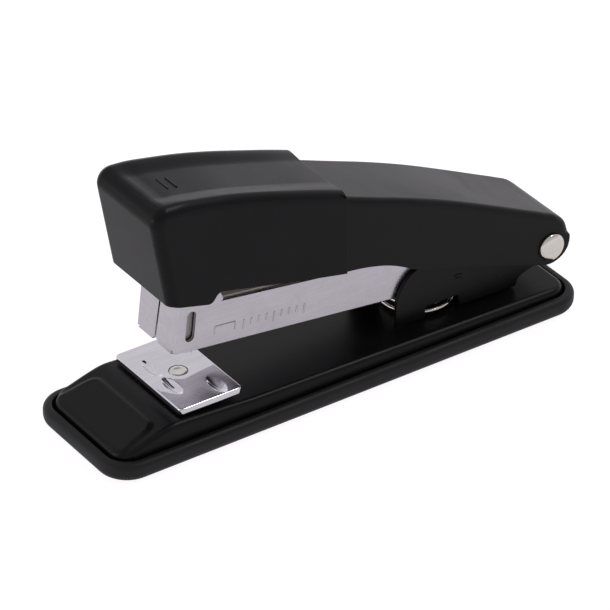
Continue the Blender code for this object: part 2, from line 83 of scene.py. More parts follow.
class StaplerSizes(bpy.types.PropertyGroup):
    """Edge and surface sizes, in millimetres."""

    sheet_edge: bpy.props.FloatProperty(
        name="Sheet edge", description="Rounding of cut sheet edges", default=0.14, min=0.02, max=0.3)
    handle_edge: bpy.props.FloatProperty(
        name="Handle edge", description="Bend radius between the handle's top and sides", default=1.7,
        min=0.5, max=3.0)
    cap_edge: bpy.props.FloatProperty(
        name="Cap edge", description="Rounding of the cap's long edges", default=2.4, min=0.5, max=4.0)
    cap_nose: bpy.props.FloatProperty(
        name="Cap nose", description="Rounding between the cap's top and front", default=3.6, min=1.0,
        max=6.0)
    cap_dish: bpy.props.FloatProperty(
        name="Cap dish", description="Depth of the thumb dish in the cap", default=0.9, min=0.0, max=1.5)
    panel_rise: bpy.props.FloatProperty(
        name="Panel rise", description="Height of the raised panel at the front of the base", default=0.38,
        min=0.0, max=1.0)
    pit_depth: bpy.props.FloatProperty(
        name="Pit depth", description="Depth of the clinching pits in the anvil", default=0.85, min=0.2,
        max=1.1)
    round_steps: bpy.props.IntProperty(
        name="Round steps", description="Sides of a turned piece", default=56, min=16, max=128)


class StaplerColours(bpy.types.PropertyGroup):
    """Base colours of the finishes."""

    sole: bpy.props.FloatVectorProperty(
        name="Sole", description="Soft moulded sole", subtype="COLOR", default=(0.0050, 0.0050, 0.0056))
    paint: bpy.props.FloatVectorProperty(
        name="Paint", description="Baked paint on the sheet steel", subtype="COLOR",
        default=(0.0030, 0.0030, 0.0034))
    plastic: bpy.props.FloatVectorProperty(
        name="Plastic", description="Moulded cap", subtype="COLOR", default=(0.0036, 0.0034, 0.0040))
    nickel: bpy.props.FloatVectorProperty(
        name="Nickel", description="Satin nickel of the channel", subtype="COLOR",
        default=(0.63, 0.605, 0.65))
    chrome: bpy.props.FloatVectorProperty(
        name="Chrome", description="Bright plating of the anvil", subtype="COLOR",
        default=(0.80, 0.785, 0.83))
    warm_nickel: bpy.props.FloatVectorProperty(
        name="Warm nickel", description="Bright pins and coils", subtype="COLOR",
        default=(0.80, 0.765, 0.715))
    leaf: bpy.props.FloatVectorProperty(
        name="Leaf", description="Pale return leaf", subtype="COLOR", default=(0.86, 0.80, 0.71))
    steel: bpy.props.FloatVectorProperty(
        name="Steel", description="Bare spring steel and pins", subtype="COLOR", default=(0.56, 0.545, 0.53))


class StaplerStudio(bpy.types.PropertyGroup):
    """Camera, floor and lights."""

    turn: bpy.props.FloatProperty(
        name="Turn", description="Camera azimuth", subtype="ANGLE", default=math.radians(-34.57))
    rise: bpy.props.FloatProperty(
        name="Rise", description="Camera elevation", subtype="ANGLE", default=math.radians(33.10))
    distance: bpy.props.FloatProperty(
        name="Distance", description="Camera to the point it looks at", unit="LENGTH", default=0.9482)
    aim: bpy.props.FloatVectorProperty(
        name="Aim", description="Point the camera looks at", subtype="XYZ", default=(-0.00229, 0.0, 0.01539))
    lens: bpy.props.FloatProperty(
        name="Lens", description="Focal length in millimetres", default=259.2)
    surround: bpy.props.FloatProperty(
        name="Surround", description="Brightness of the white surround overhead", default=0.66)
    horizon: bpy.props.FloatProperty(
        name="Horizon", description="Brightness of the surround low down", default=1.10)
    front: bpy.props.FloatProperty(
        name="Front", description="Share of the surround's brightness on the camera's side", default=0.70)


SETTINGS = {
    "stapler_sizes": StaplerSizes,
    "stapler_colours": StaplerColours,
    "stapler_studio": StaplerStudio,
}


def sizes():
    return bpy.context.scene.stapler_sizes


# ---------------------------------------------------------------- lines and outlines

def arc(cu, cv, radius, start, end, steps):
    """Points on an arc, with its angles in degrees."""
    angles = [math.radians(start + (end - start) * i / steps) for i in range(steps + 1)]
    return [(cu + radius * math.cos(a), cv + radius * math.sin(a)) for a in angles]


def flowing(points, steps=5):
    """A smooth line through points of any spacing."""
    spots = [Vector(p) for p in points]
    spans = [(b - a).length for a, b in zip(spots, spots[1:])]
    slopes = [(b - a) / s for a, b, s in zip(spots, spots[1:], spans)]
    leans = [slopes[0]]
    for i in range(1, len(slopes)):
        leans.append((slopes[i - 1] * spans[i] + slopes[i] * spans[i - 1]) / (spans[i - 1] + spans[i]))
    leans.append(slopes[-1])
    line = []
    for i, span in enumerate(spans):
        for k in range(steps):
            t = k / steps
            line.append(tuple(
                spots[i] * (2 * t**3 - 3 * t**2 + 1) + leans[i] * span * (t**3 - 2 * t**2 + t)
                + spots[i + 1] * (3 * t**2 - 2 * t**3) + leans[i + 1] * span * (t**3 - t**2)))
    return line + [tuple(spots[-1])]


def filleted(corners, steps=5):
    """A closed outline from (u, v, radius) corners, each rounded to its own radius."""
    line = []
    for i, (u, v, radius) in enumerate(corners):
        corner = Vector((u, v))
        if radius == 0:
            line.append((u, v))
            continue
        before = (Vector(corners[i - 1][:2]) - corner).normalized()
        after = (Vector(corners[(i + 1) % len(corners)][:2]) - corner).normalized()
        half = before.angle(after) / 2
        centre = corner + (before + after).normalized() * radius / math.sin(half)
        first = corner + before * radius / math.tan(half) - centre
        last = corner + after * radius / math.tan(half) - centre
        start = math.atan2(first.y, first.x)
        sweep = (math.atan2(last.y, last.x) - start + math.pi) % (2 * math.pi) - math.pi
        line += arc(centre.x, centre.y, radius, math.degrees(start), math.degrees(start + sweep), steps)
    return line


def ease(share):
    """0 below 0, 1 above 1 and a smooth step between."""
    t = min(max(share, 0.0), 1.0)
    return t * t * (3 - 2 * t)


# ---------------------------------------------------------------- bodies

def block(lo, hi):
    bm = bmesh.new()
    bmesh.ops.create_cube(bm, size=1.0)
    bmesh.ops.scale(bm, vec=[h - l for l, h in zip(lo, hi)], verts=bm.verts)
    bmesh.ops.translate(bm, vec=[(l + h) / 2 for l, h in zip(lo, hi)], verts=bm.verts)
    return bm


def drawn(outline, along, lo, hi):
    """A closed body from an outline: x-z points drawn along Y, x-y points along Z, y-z points along X."""
    spot = {
        "X": lambda u, v: (lo, u, v),
        "Y": lambda u, v: (u, lo, v),
        "Z": lambda u, v: (u, v, lo),
    }[along]
    step = Vector([hi - lo if letter == along else 0.0 for letter in "XYZ"])
    bm = bmesh.new()
    face = bm.faces.new([bm.verts.new(spot(u, v)) for u, v in outline])
    grown = bmesh.ops.extrude_face_region(bm, geom=[face])["geom"]
    bmesh.ops.translate(bm, vec=step, verts=[g for g in grown if isinstance(g, bmesh.types.BMVert)])
    bmesh.ops.recalc_face_normals(bm, faces=bm.faces[:])
    return bm


def spun(profile, along="Z", centre=(0.0, 0.0, 0.0), ring=False, steps=None):
    """A turned body from (radius, place along the axis) pairs. A ring's profile closes on itself."""
    bm = bmesh.new()
    verts = [bm.verts.new((radius, 0.0, place)) for radius, place in profile]
    edges = [bm.edges.new(pair) for pair in zip(verts, verts[1:])]
    if ring:
        edges.append(bm.edges.new((verts[-1], verts[0])))
    bmesh.ops.spin(bm, geom=verts + edges, cent=(0, 0, 0), axis=(0, 0, 1), dvec=(0, 0, 0),
                   angle=2 * math.pi, steps=steps or sizes().round_steps, use_merge=True)
    bmesh.ops.remove_doubles(bm, verts=bm.verts[:], dist=NEAR)
    bmesh.ops.recalc_face_normals(bm, faces=bm.faces[:])
    turn = {
        "X": Matrix.Rotation(math.pi / 2, 4, "Y"),
        "Y": Matrix.Rotation(-math.pi / 2, 4, "X"),
        "Z": Matrix.Identity(4),
    }[along]
    bm.transform(Matrix.Translation(centre) @ turn)
    return bm


def rod(radius, along, centre, lo, hi, steps=32):
    """A plain round cutter or stub, closed at both ends."""
    return spun([(0.0, lo), (radius, lo), (radius, hi), (0.0, hi)], along, centre, steps=steps)


def wire(path, radius, sides=3):
    """Round wire along a path, with its ends closed."""
    curve = bpy.data.curves.new("wire", "CURVE")
    curve.dimensions = "3D"
    curve.bevel_depth = radius
    curve.bevel_resolution = sides
    curve.use_fill_caps = True
    line = curve.splines.new("POLY")
    line.points.add(len(path) - 1)
    for point, place in zip(line.points, path):
        point.co = (*place, 1.0)
    holder = bpy.data.objects.new("wire", curve)
    bpy.context.scene.collection.objects.link(holder)
    bpy.context.view_layer.update()
    bm = bmesh.new()
    mesh = bpy.data.meshes.new_from_object(holder.evaluated_get(bpy.context.evaluated_depsgraph_get()))
    bm.from_mesh(mesh)
    bpy.data.meshes.remove(mesh)
    bpy.data.objects.remove(holder, do_unlink=True)
    bpy.data.curves.remove(curve)
    bmesh.ops.remove_doubles(bm, verts=bm.verts[:], dist=NEAR)
    bmesh.ops.recalc_face_normals(bm, faces=bm.faces[:])
    return bm


def added(*bodies):
    """Separate bodies held in one mesh."""
    whole = bodies[0]
    for bm in bodies[1:]:
        mesh = bpy.data.meshes.new("part")
        bm.to_mesh(mesh)
        bm.free()
        whole.from_mesh(mesh)
        bpy.data.meshes.remove(mesh)
    return whole


def holder_of(bm, name="work"):
    mesh = bpy.data.meshes.new(name)
    bm.to_mesh(mesh)
    bm.free()
    obj = bpy.data.objects.new(name, mesh)
    bpy.context.scene.collection.objects.link(obj)
    return obj


def drop(obj):
    mesh = obj.data
    bpy.data.objects.remove(obj, do_unlink=True)
    bpy.data.meshes.remove(mesh)


def shaped(bm, *steps):
    """The body after modifiers, each given as (type, settings)."""
    work = holder_of(bm)
    for kind, settings in steps:
        modifier = work.modifiers.new(kind.lower(), kind)
        for key, value in settings.items():
            setattr(modifier, key, value)
    bpy.context.view_layer.update()
    result = bmesh.new()
    result.from_object(work, bpy.context.evaluated_depsgraph_get())
    drop(work)
    return result


def combined(bm, tools, operation):
    helpers = [holder_of(tool) for tool in tools]
    steps = [("BOOLEAN", {"operation": operation, "solver": "EXACT", "object": h}) for h in helpers]
    result = shaped(bm, *steps)
    for helper in helpers:
        drop(helper)
    bmesh.ops.remove_doubles(result, verts=result.verts[:], dist=NEAR)
    return result


def cut(bm, *tools):
    return combined(bm, tools, "DIFFERENCE")


def joined(bm, *tools):
    return combined(bm, tools, "UNION")


def kept_within(bm, *tools):
    return combined(bm, tools, "INTERSECT")


def tidy_flats(bm):
    """Joins flat neighbours, so that edge rounding isn't stopped by slivers."""
    bmesh.ops.dissolve_degenerate(bm, dist=NEAR, edges=bm.edges[:])
    bmesh.ops.dissolve_limit(bm, angle_limit=math.radians(0.15), verts=bm.verts[:], edges=bm.edges[:])
    return bm


def broken_edges(bm, width=None, segments=2, angle=42.0):
    """Breaks every sharp edge, as tumbling does to stamped sheet."""
    settings = {
        "width": width or sizes().sheet_edge, "segments": segments, "limit_method": "ANGLE",
        "angle_limit": math.radians(angle), "use_clamp_overlap": False, "miter_outer": "MITER_ARC",
    }
    return shaped(tidy_flats(bm), ("BEVEL", settings))


def edges_where(bm, test):
    bm.normal_update()
    return [edge for edge in bm.edges if test(edge)]


def middle(edge):
    return (edge.verts[0].co + edge.verts[1].co) / 2


def runs_along(edge, axis):
    step = edge.verts[1].co - edge.verts[0].co
    return abs(step[axis]) > 0.99 * step.length


def is_corner(edge, degrees=30.0):
    return len(edge.link_faces) == 2 and edge.calc_face_angle(0.0) > math.radians(degrees)


def rounded(bm, edges, radius, segments=4):
    bmesh.ops.bevel(bm, geom=edges, offset=radius, offset_type="OFFSET", affect="EDGES", segments=segments,
                    profile=0.5, material=-1, clamp_overlap=False)
    return bm


def scored(bm, axis, places):
    """Adds a line round the body at each place along an axis."""
    for place in places:
        point, normal = [0.0] * 3, [0.0] * 3
        point[axis], normal[axis] = place, 1.0
        bmesh.ops.bisect_plane(bm, geom=bm.verts[:] + bm.edges[:] + bm.faces[:], dist=NEAR,
                               plane_co=point, plane_no=normal)
    return bm


def spread(lo, hi, step):
    count = max(1, round((hi - lo) / step))
    return [lo + (hi - lo) * i / count for i in range(count + 1)]


def rounded_block(lo, hi, axis, radius, segments=6, where=None):
    """A block with its edges along one axis rounded."""
    bm = block(lo, hi)
    edges = edges_where(bm, lambda e: runs_along(e, axis) and (where is None or where(middle(e))))
    return rounded(bm, edges, radius, segments)


def place(name, bm, body, slot, finish, stands_for=(), matrix=WORLD):
    """Makes the body an object at the origin, in metres, riding on its CAD body."""
    bm.transform(matrix)
    obj = holder_of(bm, name)
    obj.data.shade_smooth()
    obj.data.set_sharp_from_angle(angle=math.radians(38.0))
    obj.data.materials.append(FINISHES[finish])
    modifier = obj.modifiers.new("even_shading", "WEIGHTED_NORMAL")
    modifier.keep_sharp = True
    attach(obj, body)
    if stands_for:
        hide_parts(*stands_for)
    return obj


# ---------------------------------------------------------------- shared effects

def effect(name, inputs, outputs):
    """An empty shader group: its named inputs, as (label, value), its outputs, and Object coordinates."""
    tree = bpy.data.node_groups.new(name, "ShaderNodeTree")
    for label, value in inputs:
        socket = tree.interface.new_socket(name=label, in_out="INPUT", socket_type="NodeSocketFloat")
        socket.default_value = value
    for label in outputs:
        tree.interface.new_socket(name=label, in_out="OUTPUT", socket_type="NodeSocketFloat")
    where = node(tree, "TexCoord").outputs["Object"]
    return tree, tree.nodes.new("NodeGroupInput").outputs, tree.nodes.new("NodeGroupOutput").inputs, where


def node(tree, kind, **settings):
    made = tree.nodes.new("ShaderNode" + kind)
    for key, value in settings.items():
        if hasattr(made, key):
            setattr(made, key, value)
        else:
            made.inputs[key].default_value = value
    return made


def feed(tree, value, socket):
    """Links an output to a socket, or sets the socket to a plain value."""
    if isinstance(value, bpy.types.NodeSocket):
        tree.links.new(value, socket)
    else:
        socket.default_value = value


def maths(tree, operation, *values):
    made = node(tree, "Math", operation=operation)
    for value, socket in zip(values, made.inputs):
        feed(tree, value, socket)
    return made.outputs[0]


def sum_of(tree, first, second, weight):
    return maths(tree, "MULTIPLY_ADD", second, weight, first)


def noise(tree, where, scale, detail=3.0, roughness=0.55, distortion=0.0):
    made = node(tree, "TexNoise", Detail=detail, Roughness=roughness, Distortion=distortion)
    feed(tree, where, made.inputs["Vector"])
    feed(tree, scale, made.inputs["Scale"])
    return made.outputs["Fac"]


def remapped(tree, value, low, high, new_low=0.0, new_high=1.0):
    made = node(tree, "MapRange", interpolation_type="SMOOTHSTEP")
    for label, number in (("From Min", low), ("From Max", high), ("To Min", new_low), ("To Max", new_high)):
        made.inputs[label].default_value = number
    feed(tree, value, made.inputs["Value"])
    return made.outputs["Result"]


def coated_effect(name, main, second, weight, drift):
    """Bump height from two noises, and a slow drift in gloss.

    Each noise is given as (scale, detail, roughness, distortion), where the last can be left out.
    """
    tree, start, end, where = effect(name, [("Scale", main[0])], ["Height", "Drift"])
    height = sum_of(tree, noise(tree, where, start["Scale"], *main[1:]), noise(tree, where, *second), weight)
    feed(tree, height, end["Height"])
    feed(tree, remapped(tree, noise(tree, where, *drift), 0.3, 0.7), end["Drift"])
    return tree


def rolled_streaks_effect():
    """Fine lines along the sheet, as rolling leaves them under thin plating, with faint clouds."""
    tree, start, end, where = effect("rolled_streaks", [("Scale", 5200.0)], ["Height", "Streaks", "Clouds"])
    stretch = node(tree, "Mapping", vector_type="POINT")
    stretch.inputs["Scale"].default_value = (0.035, 1.0, 1.0)
    feed(tree, where, stretch.inputs["Vector"])
    lines = noise(tree, stretch.outputs["Vector"], start["Scale"], 3.0, 0.6)
    broad = noise(tree, stretch.outputs["Vector"], 700.0, 2.0, 0.5)
    feed(tree, lines, end["Height"])
    feed(tree, remapped(tree, sum_of(tree, lines, broad, 0.6), 0.55, 1.05), end["Streaks"])
    feed(tree, remapped(tree, noise(tree, where, 70.0, 4.0, 0.6, 0.7), 0.3, 0.7), end["Clouds"])
    return tree


def handling_effect():
    """Faint smears of handling and a sprinkling of tiny dust specks."""
    inputs = [("Smear Scale", 85.0), ("Dust Scale", 1500.0)]
    tree, start, end, where = effect("handling", inputs, ["Smears", "Dust"])
    smears = noise(tree, where, start["Smear Scale"], 5.0, 0.62, 1.4)
    feed(tree, remapped(tree, smears, 0.48, 0.72), end["Smears"])
    cells = node(tree, "TexVoronoi", feature="F1")
    feed(tree, where, cells.inputs["Vector"])
    feed(tree, start["Dust Scale"], cells.inputs["Scale"])
    specks = remapped(tree, cells.outputs["Distance"], 0.05, 0.11, 1.0, 0.0)
    patches = remapped(tree, noise(tree, where, 240.0, 2.0), 0.56, 0.66)
    feed(tree, maths(tree, "MULTIPLY", specks, patches), end["Dust"])
    return tree


def tread_effect():
    """Shallow chevron grooves that keep a soft sole from sliding, on its underside only."""
    tree, start, end, where = effect("tread", [("Pitch", 2.6)], ["Height"])
    parts = node(tree, "SeparateXYZ")
    feed(tree, where, parts.inputs[0])
    x, y, z = parts.outputs
    fold = maths(tree, "ABSOLUTE", y)
    turns = maths(tree, "DIVIDE", sum_of(tree, x, fold, 0.8), maths(tree, "MULTIPLY", start["Pitch"], MM))
    groove = remapped(tree, maths(tree, "PINGPONG", turns, 0.5), 0.12, 0.2)
    under = remapped(tree, z, 0.0001, 0.0002, 1.0, 0.0)
    inner = remapped(tree, fold, 0.0115, 0.0119, 1.0, 0.0)
    feed(tree, maths(tree, "MULTIPLY", groove, maths(tree, "MULTIPLY", under, inner)), end["Height"])
    return tree


# ---------------------------------------------------------------- finishes

FINISHES = {}
EFFECTS = {}


def build_effects():
    grain = coated_effect("moulded_grain", (2400.0, 2.0, 0.6), (900.0, 2.0, 0.5), 0.5, (45.0, 3.0, 0.5, 0.6))
    peel = coated_effect("orange_peel", (520.0, 1.0, 0.4, 0.3), (4200.0, 2.0, 0.6), 0.12,
                         (38.0, 3.0, 0.5, 0.8))
    EFFECTS.update({
        "grain": grain,
        "peel": peel,
        "rolled": rolled_streaks_effect(),
        "handling": handling_effect(),
        "tread": tread_effect(),
    })


def started(name, metallic, specular):
    mat = bpy.data.materials.new(name)
    mat.use_nodes = True
    shader = mat.node_tree.nodes["Principled BSDF"]
    shader.inputs["Metallic"].default_value = metallic
    shader.inputs["Specular IOR Level"].default_value = specular
    FINISHES[name] = mat
    return mat.node_tree, shader


def placed(tree, effect_name, **values):
    made = tree.nodes.new("ShaderNodeGroup")
    made.node_tree = EFFECTS[effect_name]
    for label, value in values.items():
        made.inputs[label.replace("_", " ")].default_value = value
    return made.outputs


def blended(tree, factor, low, high):
    """A colour between two, by a mask. Each is a colour or an output."""
    made = node(tree, "Mix", data_type="RGBA", blend_type="MIX")
    feed(tree, factor, made.inputs[0])
    for socket, colour in ((made.inputs[6], low), (made.inputs[7], high)):
        feed(tree, colour if isinstance(colour, bpy.types.NodeSocket) else (*colour, 1.0), socket)
    return made.outputs[2]


def scaled(colour, factor):
    return tuple(min(1.0, c * factor) for c in colour)


def bumped(tree, shader, height, depth, strength):
    made = node(tree, "Bump", Strength=strength, Distance=depth * MM)
    feed(tree, height, made.inputs["Height"])
    feed(tree, made.outputs["Normal"], shader.inputs["Normal"])
    return made


def black_finish(name, effect_name, colour, gloss, dull, specular, depth, strength, scale):
    """A black moulded or painted surface: drifting gloss, faint smears, a little dust."""
    tree, shader = started(name, 0.0, specular)
    surface = placed(tree, effect_name, Scale=scale)
    marks = placed(tree, "handling")
    tint = blended(tree, surface["Drift"], colour, scaled(colour, 1.35))
    dusty = remapped(tree, marks["Dust"], 0.0, 1.0, 0.0, 0.10)
    feed(tree, blended(tree, dusty, tint, (0.20, 0.19, 0.18)), shader.inputs["Base Color"])
    worn = sum_of(tree, surface["Drift"], marks["Smears"], 0.22)
    feed(tree, remapped(tree, worn, 0.0, 1.7, gloss, dull), shader.inputs["Roughness"])
    return tree, bumped(tree, shader, surface["Height"], depth, strength)


def metal_finish(name, colour, gloss, dull, depth, strength, across, metallic=1.0):
    """Plated or bare sheet: rolling lines, cloudy gloss, faint smears."""
    tree, shader = started(name, metallic, 0.5)
    surface = placed(tree, "rolled", Scale=across)
    marks = placed(tree, "handling", Smear_Scale=120.0)
    tint = blended(tree, surface["Streaks"], scaled(colour, 0.93), scaled(colour, 1.04))
    smeared = remapped(tree, marks["Smears"], 0.0, 1.0, 0.0, 0.5)
    feed(tree, blended(tree, smeared, tint, scaled(colour, 0.9)), shader.inputs["Base Color"])
    worn = sum_of(tree, surface["Clouds"], surface["Streaks"], 0.6)
    feed(tree, remapped(tree, worn, 0.0, 1.6, gloss, dull), shader.inputs["Roughness"])
    bumped(tree, shader, surface["Height"], depth, strength)


def build_finishes():
    build_effects()
    c = bpy.context.scene.stapler_colours
    tree, fine = black_finish("soft_sole", "grain", c.sole, 0.44, 0.60, 0.30, 0.05, 0.22, 1700.0)
    deep = node(tree, "Bump", Strength=0.9, Distance=0.35 * MM)
    feed(tree, placed(tree, "tread")["Height"], deep.inputs["Height"])
    feed(tree, deep.outputs["Normal"], fine.inputs["Normal"])
    black_finish("baked_paint", "peel", c.paint, 0.28, 0.38, 0.18, 0.05, 0.10, 520.0)
    black_finish("bracket_paint", "peel", c.paint, 0.26, 0.38, 0.18, 0.05, 0.12, 640.0)
    black_finish("cap_plastic", "grain", c.plastic, 0.25, 0.34, 0.15, 0.03, 0.14, 2600.0)
    metal_finish("satin_nickel", c.nickel, 0.24, 0.40, 0.012, 0.35, 5200.0)
    metal_finish("bright_chrome", c.chrome, 0.02, 0.05, 0.003, 0.04, 2600.0)
    metal_finish("bright_nickel", c.warm_nickel, 0.10, 0.20, 0.010, 0.25, 3800.0)
    metal_finish("spring_steel", scaled(c.steel, 1.45), 0.16, 0.28, 0.010, 0.30, 4200.0)
    metal_finish("pale_leaf", c.leaf, 0.42, 0.60, 0.010, 0.30, 4200.0, metallic=0.25)
    metal_finish("ground_steel", c.steel, 0.28, 0.46, 0.015, 0.50, 3600.0)
    # Painted shade: this steel is the plain steel colour darkened to 0.55, standing in for the shadow inside
    # the channel, which the rail, rod stops, nose guides and blade sit in.
    metal_finish("shade_darkened_steel", scaled(c.steel, 0.55), 0.24, 0.40, 0.015, 0.50, 3600.0)


# ---------------------------------------------------------------- base pieces

def node_box(name):
    """A CAD node's lowest and highest corners, in millimetres."""
    lo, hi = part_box(name)
    return lo / MM, hi / MM


SOLE_HI = node_box("base_pad")[1]
HALF_LENGTH = SOLE_HI.x
HALF_WIDTH = SOLE_HI.y
PLAN_RADIUS = 7.3
RIM_TOP = 4.5
POCKET_INSET = 2.05
POCKET_FLOOR = 1.6
PLATE_INSET = 2.3
PLATE_FOOT = 1.9
SHEET = 1.0
PLATE_TOP = [(-61.0, 4.6), (-56.0, 6.1), (-49.2, 8.15), (-45.5, 9.0), (-25.0, 7.75), (62.0, 5.67)]
PANEL_REAR = -48.2
PANEL_HALF = 11.4


def inset_at(x, y):
    """How far a point lies inside the sole's outline, seen from above."""
    over_x = abs(x) - (HALF_LENGTH - PLAN_RADIUS)
    over_y = abs(y) - (HALF_WIDTH - PLAN_RADIUS)
    if over_x > 0 and over_y > 0:
        return PLAN_RADIUS - math.hypot(over_x, over_y)
    return min(HALF_LENGTH - abs(x), HALF_WIDTH - abs(y))


def top_face(bm):
    return max(bm.faces, key=lambda f: (round(f.calc_center_median().z, 3), f.calc_area()))


def level_loop(bm, z, inset):
    """Edges at one height that follow the outline at one inset."""
    return edges_where(bm,
                       lambda e: all(abs(v.co.z - z) < 0.01 and abs(inset_at(v.co.x, v.co.y) - inset) < 0.08
                                         for v in e.verts) and is_corner(e))


def sole_body():
    bm = rounded_block((-HALF_LENGTH, -HALF_WIDTH, 0.0), (HALF_LENGTH, HALF_WIDTH, RIM_TOP), 2, PLAN_RADIUS,
                       18)
    floor = top_face(bm)
    bmesh.ops.inset_region(bm, faces=[floor], thickness=POCKET_INSET, use_even_offset=True)
    sunk = bmesh.ops.extrude_face_region(bm, geom=[floor])["geom"]
    bmesh.ops.delete(bm, geom=[floor], context="FACES_ONLY")
    bmesh.ops.translate(bm, vec=(0.0, 0.0, POCKET_FLOOR - RIM_TOP),
                        verts=[g for g in sunk if isinstance(g, bmesh.types.BMVert)])
    rounded(bm, level_loop(bm, 0.0, 0.0), 2.2, 8)
    rounded(bm, level_loop(bm, RIM_TOP, 0.0), 1.35, 7)
    rounded(bm, level_loop(bm, RIM_TOP, POCKET_INSET), 0.22, 3)
    return cut(bm, rod(6.5, "Z", (TURN.x, 0.0, 0.0), -1.0, 3.0, 64))


def on_line(line, x):
    for (x0, z0), (x1, z1) in zip(line, line[1:]):
        if x <= x1:
            return z0 + (z1 - z0) * (x - x0) / (x1 - x0)
    return line[-1][1]


def plate_top(x, y=None):
    """Height of the pressed plate: its long profile with the creases pressed round, and the raised panel."""
    soft = 1.3
    z = sum(on_line(PLATE_TOP, x + soft * k / 4) for k in range(-4, 5)) / 9
    if y is None:
        return z
    corner = 2.2
    flare = 0.22 * (PANEL_REAR - x)
    over_x = max(x - PANEL_REAR + corner, 0.0)
    over_y = max(abs(y) - PANEL_HALF - flare + corner, 0.0)
    inside = corner - math.hypot(over_x, over_y)
    ridge = 0.16 * math.exp(-((inside - 0.7) / 0.5) ** 2) * ease((x + 54.5) / 3.0)
    return z + ridge + sizes().panel_rise * ease(inside / 1.2)


def plate_body():
    """A box gives the plan and the shoulder; its top is then drawn down to the long profile."""
    lean, bend, steps, high = 0.45, 1.3, 8, 12.0
    lo = (-HALF_LENGTH + PLATE_INSET, -HALF_WIDTH + PLATE_INSET, 0.0)
    hi = (HALF_LENGTH - PLATE_INSET, HALF_WIDTH - PLATE_INSET, high - 4.0)
    bm = rounded_block(lo, hi, 2, PLAN_RADIUS - PLATE_INSET, 16)
    crown = top_face(bm)
    rings = [(lean, high - bend)]
    rings += [(lean + bend * (1.0 - math.cos(a)), high - bend * (1.0 - math.sin(a)))
              for a in (math.radians(12.0 + 78.0 * k / steps) for k in range(steps + 1))]
    reached = 0.0
    for inset, height in rings:
        bmesh.ops.inset_region(bm, faces=[crown], thickness=inset - reached, use_even_offset=True)
        reached = inset
        for vert in crown.verts:
            vert.co.z = height
    scored(bm, 0, spread(-59.0, -43.4, 0.52) + spread(-42.0, -24.0, 3.0) + spread(-16.0, 58.0, 8.0))
    scored(bm, 1, spread(-14.4, -8.6, 0.45) + spread(-6.0, 6.0, 3.0) + spread(8.6, 14.4, 0.45))
    bm.faces.ensure_lookup_table()
    under = [f for f in bm.faces if all(v.co.z < NEAR for v in f.verts)]
    bmesh.ops.delete(bm, geom=under, context="FACES")
    for vert in bm.verts:
        x, y, height = vert.co
        if height < NEAR:
            vert.co.z = PLATE_FOOT
        elif height < high - bend - NEAR:
            vert.co.z = PLATE_FOOT + 0.4
        else:
            vert.co.z = max(plate_top(x, y) - (high - height), PLATE_FOOT + 0.8)
    shell = shaped(bm, ("SOLIDIFY", {"thickness": SHEET, "offset": -1.0, "use_even_offset": True}))
    holes = [rod(1.6, "Z", (TURN.x, 0.0, 0.0), -2.0, 14.0)]
    for name in ("bracket_rivet_front", "bracket_rivet_rear"):
        lo, hi = node_box(name)
        holes.append(rod(1.5, "Z", ((lo.x + hi.x) / 2, 0.0, 0.0), -2.0, 14.0))
    return cut(shell, *holes)


PITS = [(-4.15, -3.95, 3.8, 1.55), (-4.15, 3.95, 3.8, 1.55), (4.0, -8.8, 3.5, 1.65), (4.0, 8.8, 3.5, 1.65)]


def anvil_body():
    """A pressed plate with four pits that turn the staple's legs, each dished round its mouth."""
    lo, hi = node_box("anvil")
    bm = rounded_block(lo, hi, 2, 1.1, 8)
    rounded(bm, edges_where(bm, lambda e: all(abs(v.co.z - hi.z) < NEAR for v in e.verts)), 0.4, 5)
    rounded(bm, edges_where(bm, lambda e: all(abs(v.co.z - lo.z) < NEAR for v in e.verts)), 0.2, 3)
    scored(bm, 0, spread(lo.x + 0.5, hi.x - 0.5, 0.42))
    scored(bm, 1, spread(lo.y + 0.5, hi.y - 0.5, 0.42))
    for vert in bm.verts:
        if vert.co.z < hi.z - NEAR:
            continue
        for dx, dy, half, width in PITS:
            across = (vert.co.x - TURN.x - dx) / (width + 0.75)
            along = (vert.co.y - dy) / (half + 0.6)
            vert.co.z -= 0.16 * math.exp(-1.6 * (across**2 + along**2) ** 1.5)
    depth = sizes().pit_depth
    tools = []
    for dx, dy, half, width in PITS:
        wheel = (half**2 + depth**2) / (2 * depth)
        shares = [k / 8 for k in range(9)]
        side = [(wheel - depth + depth * s, width * (1 - s) ** 0.62) for s in shares]
        profile = [(0.0, -width)] + [(r, -w) for r, w in side] + [(r, w) for r, w in reversed(side[:-1])]
        centre = (TURN.x + dx, dy, hi.z - 0.05 + wheel - depth)
        tools.append(spun(profile + [(0.0, width)], "X", centre, steps=160))
    tools.append(rod(2.14, "Z", (TURN.x, 0.0, 0.0), lo.z - 2.0, hi.z + 2.0, 64))
    return cut(bm, *tools)


def stud_body():
    z1 = node_box("anvil")[1].z
    z0 = node_box("anvil")[0].z
    profile = [(0.0, 1.3), (2.6, 1.3), (2.6, 2.1), (1.5, 2.1), (1.5, z0 + 0.2), (2.0, z0 + 0.3)]
    profile += [(2.0, z1 - 0.16), (1.95, z1 - 0.07), (1.84, z1), (1.2, z1), (1.05, z1 - 0.05),
                (0.0, z1 - 0.06)]
    return spun(profile, "Z", (TURN.x, 0.0, 0.0))


def button_body():
    profile = filleted([(1.8, 2.4, 0.15), (4.6, 2.4, 0.35), (4.6, 3.4, 0.2), (1.8, 3.4, 0.1)], 4)
    return spun(profile, "Z", (TURN.x, 0.0, 0.0), ring=True)


def helix(centre, radius, turns, low, high, per_turn=40):
    count = int(turns * per_turn)
    angles = [2 * math.pi * i / per_turn for i in range(count + 1)]
    return [(centre[0] + radius * math.cos(a), centre[1] + radius * math.sin(a),
             low + (high - low) * i / count)
            for i, a in enumerate(angles)]


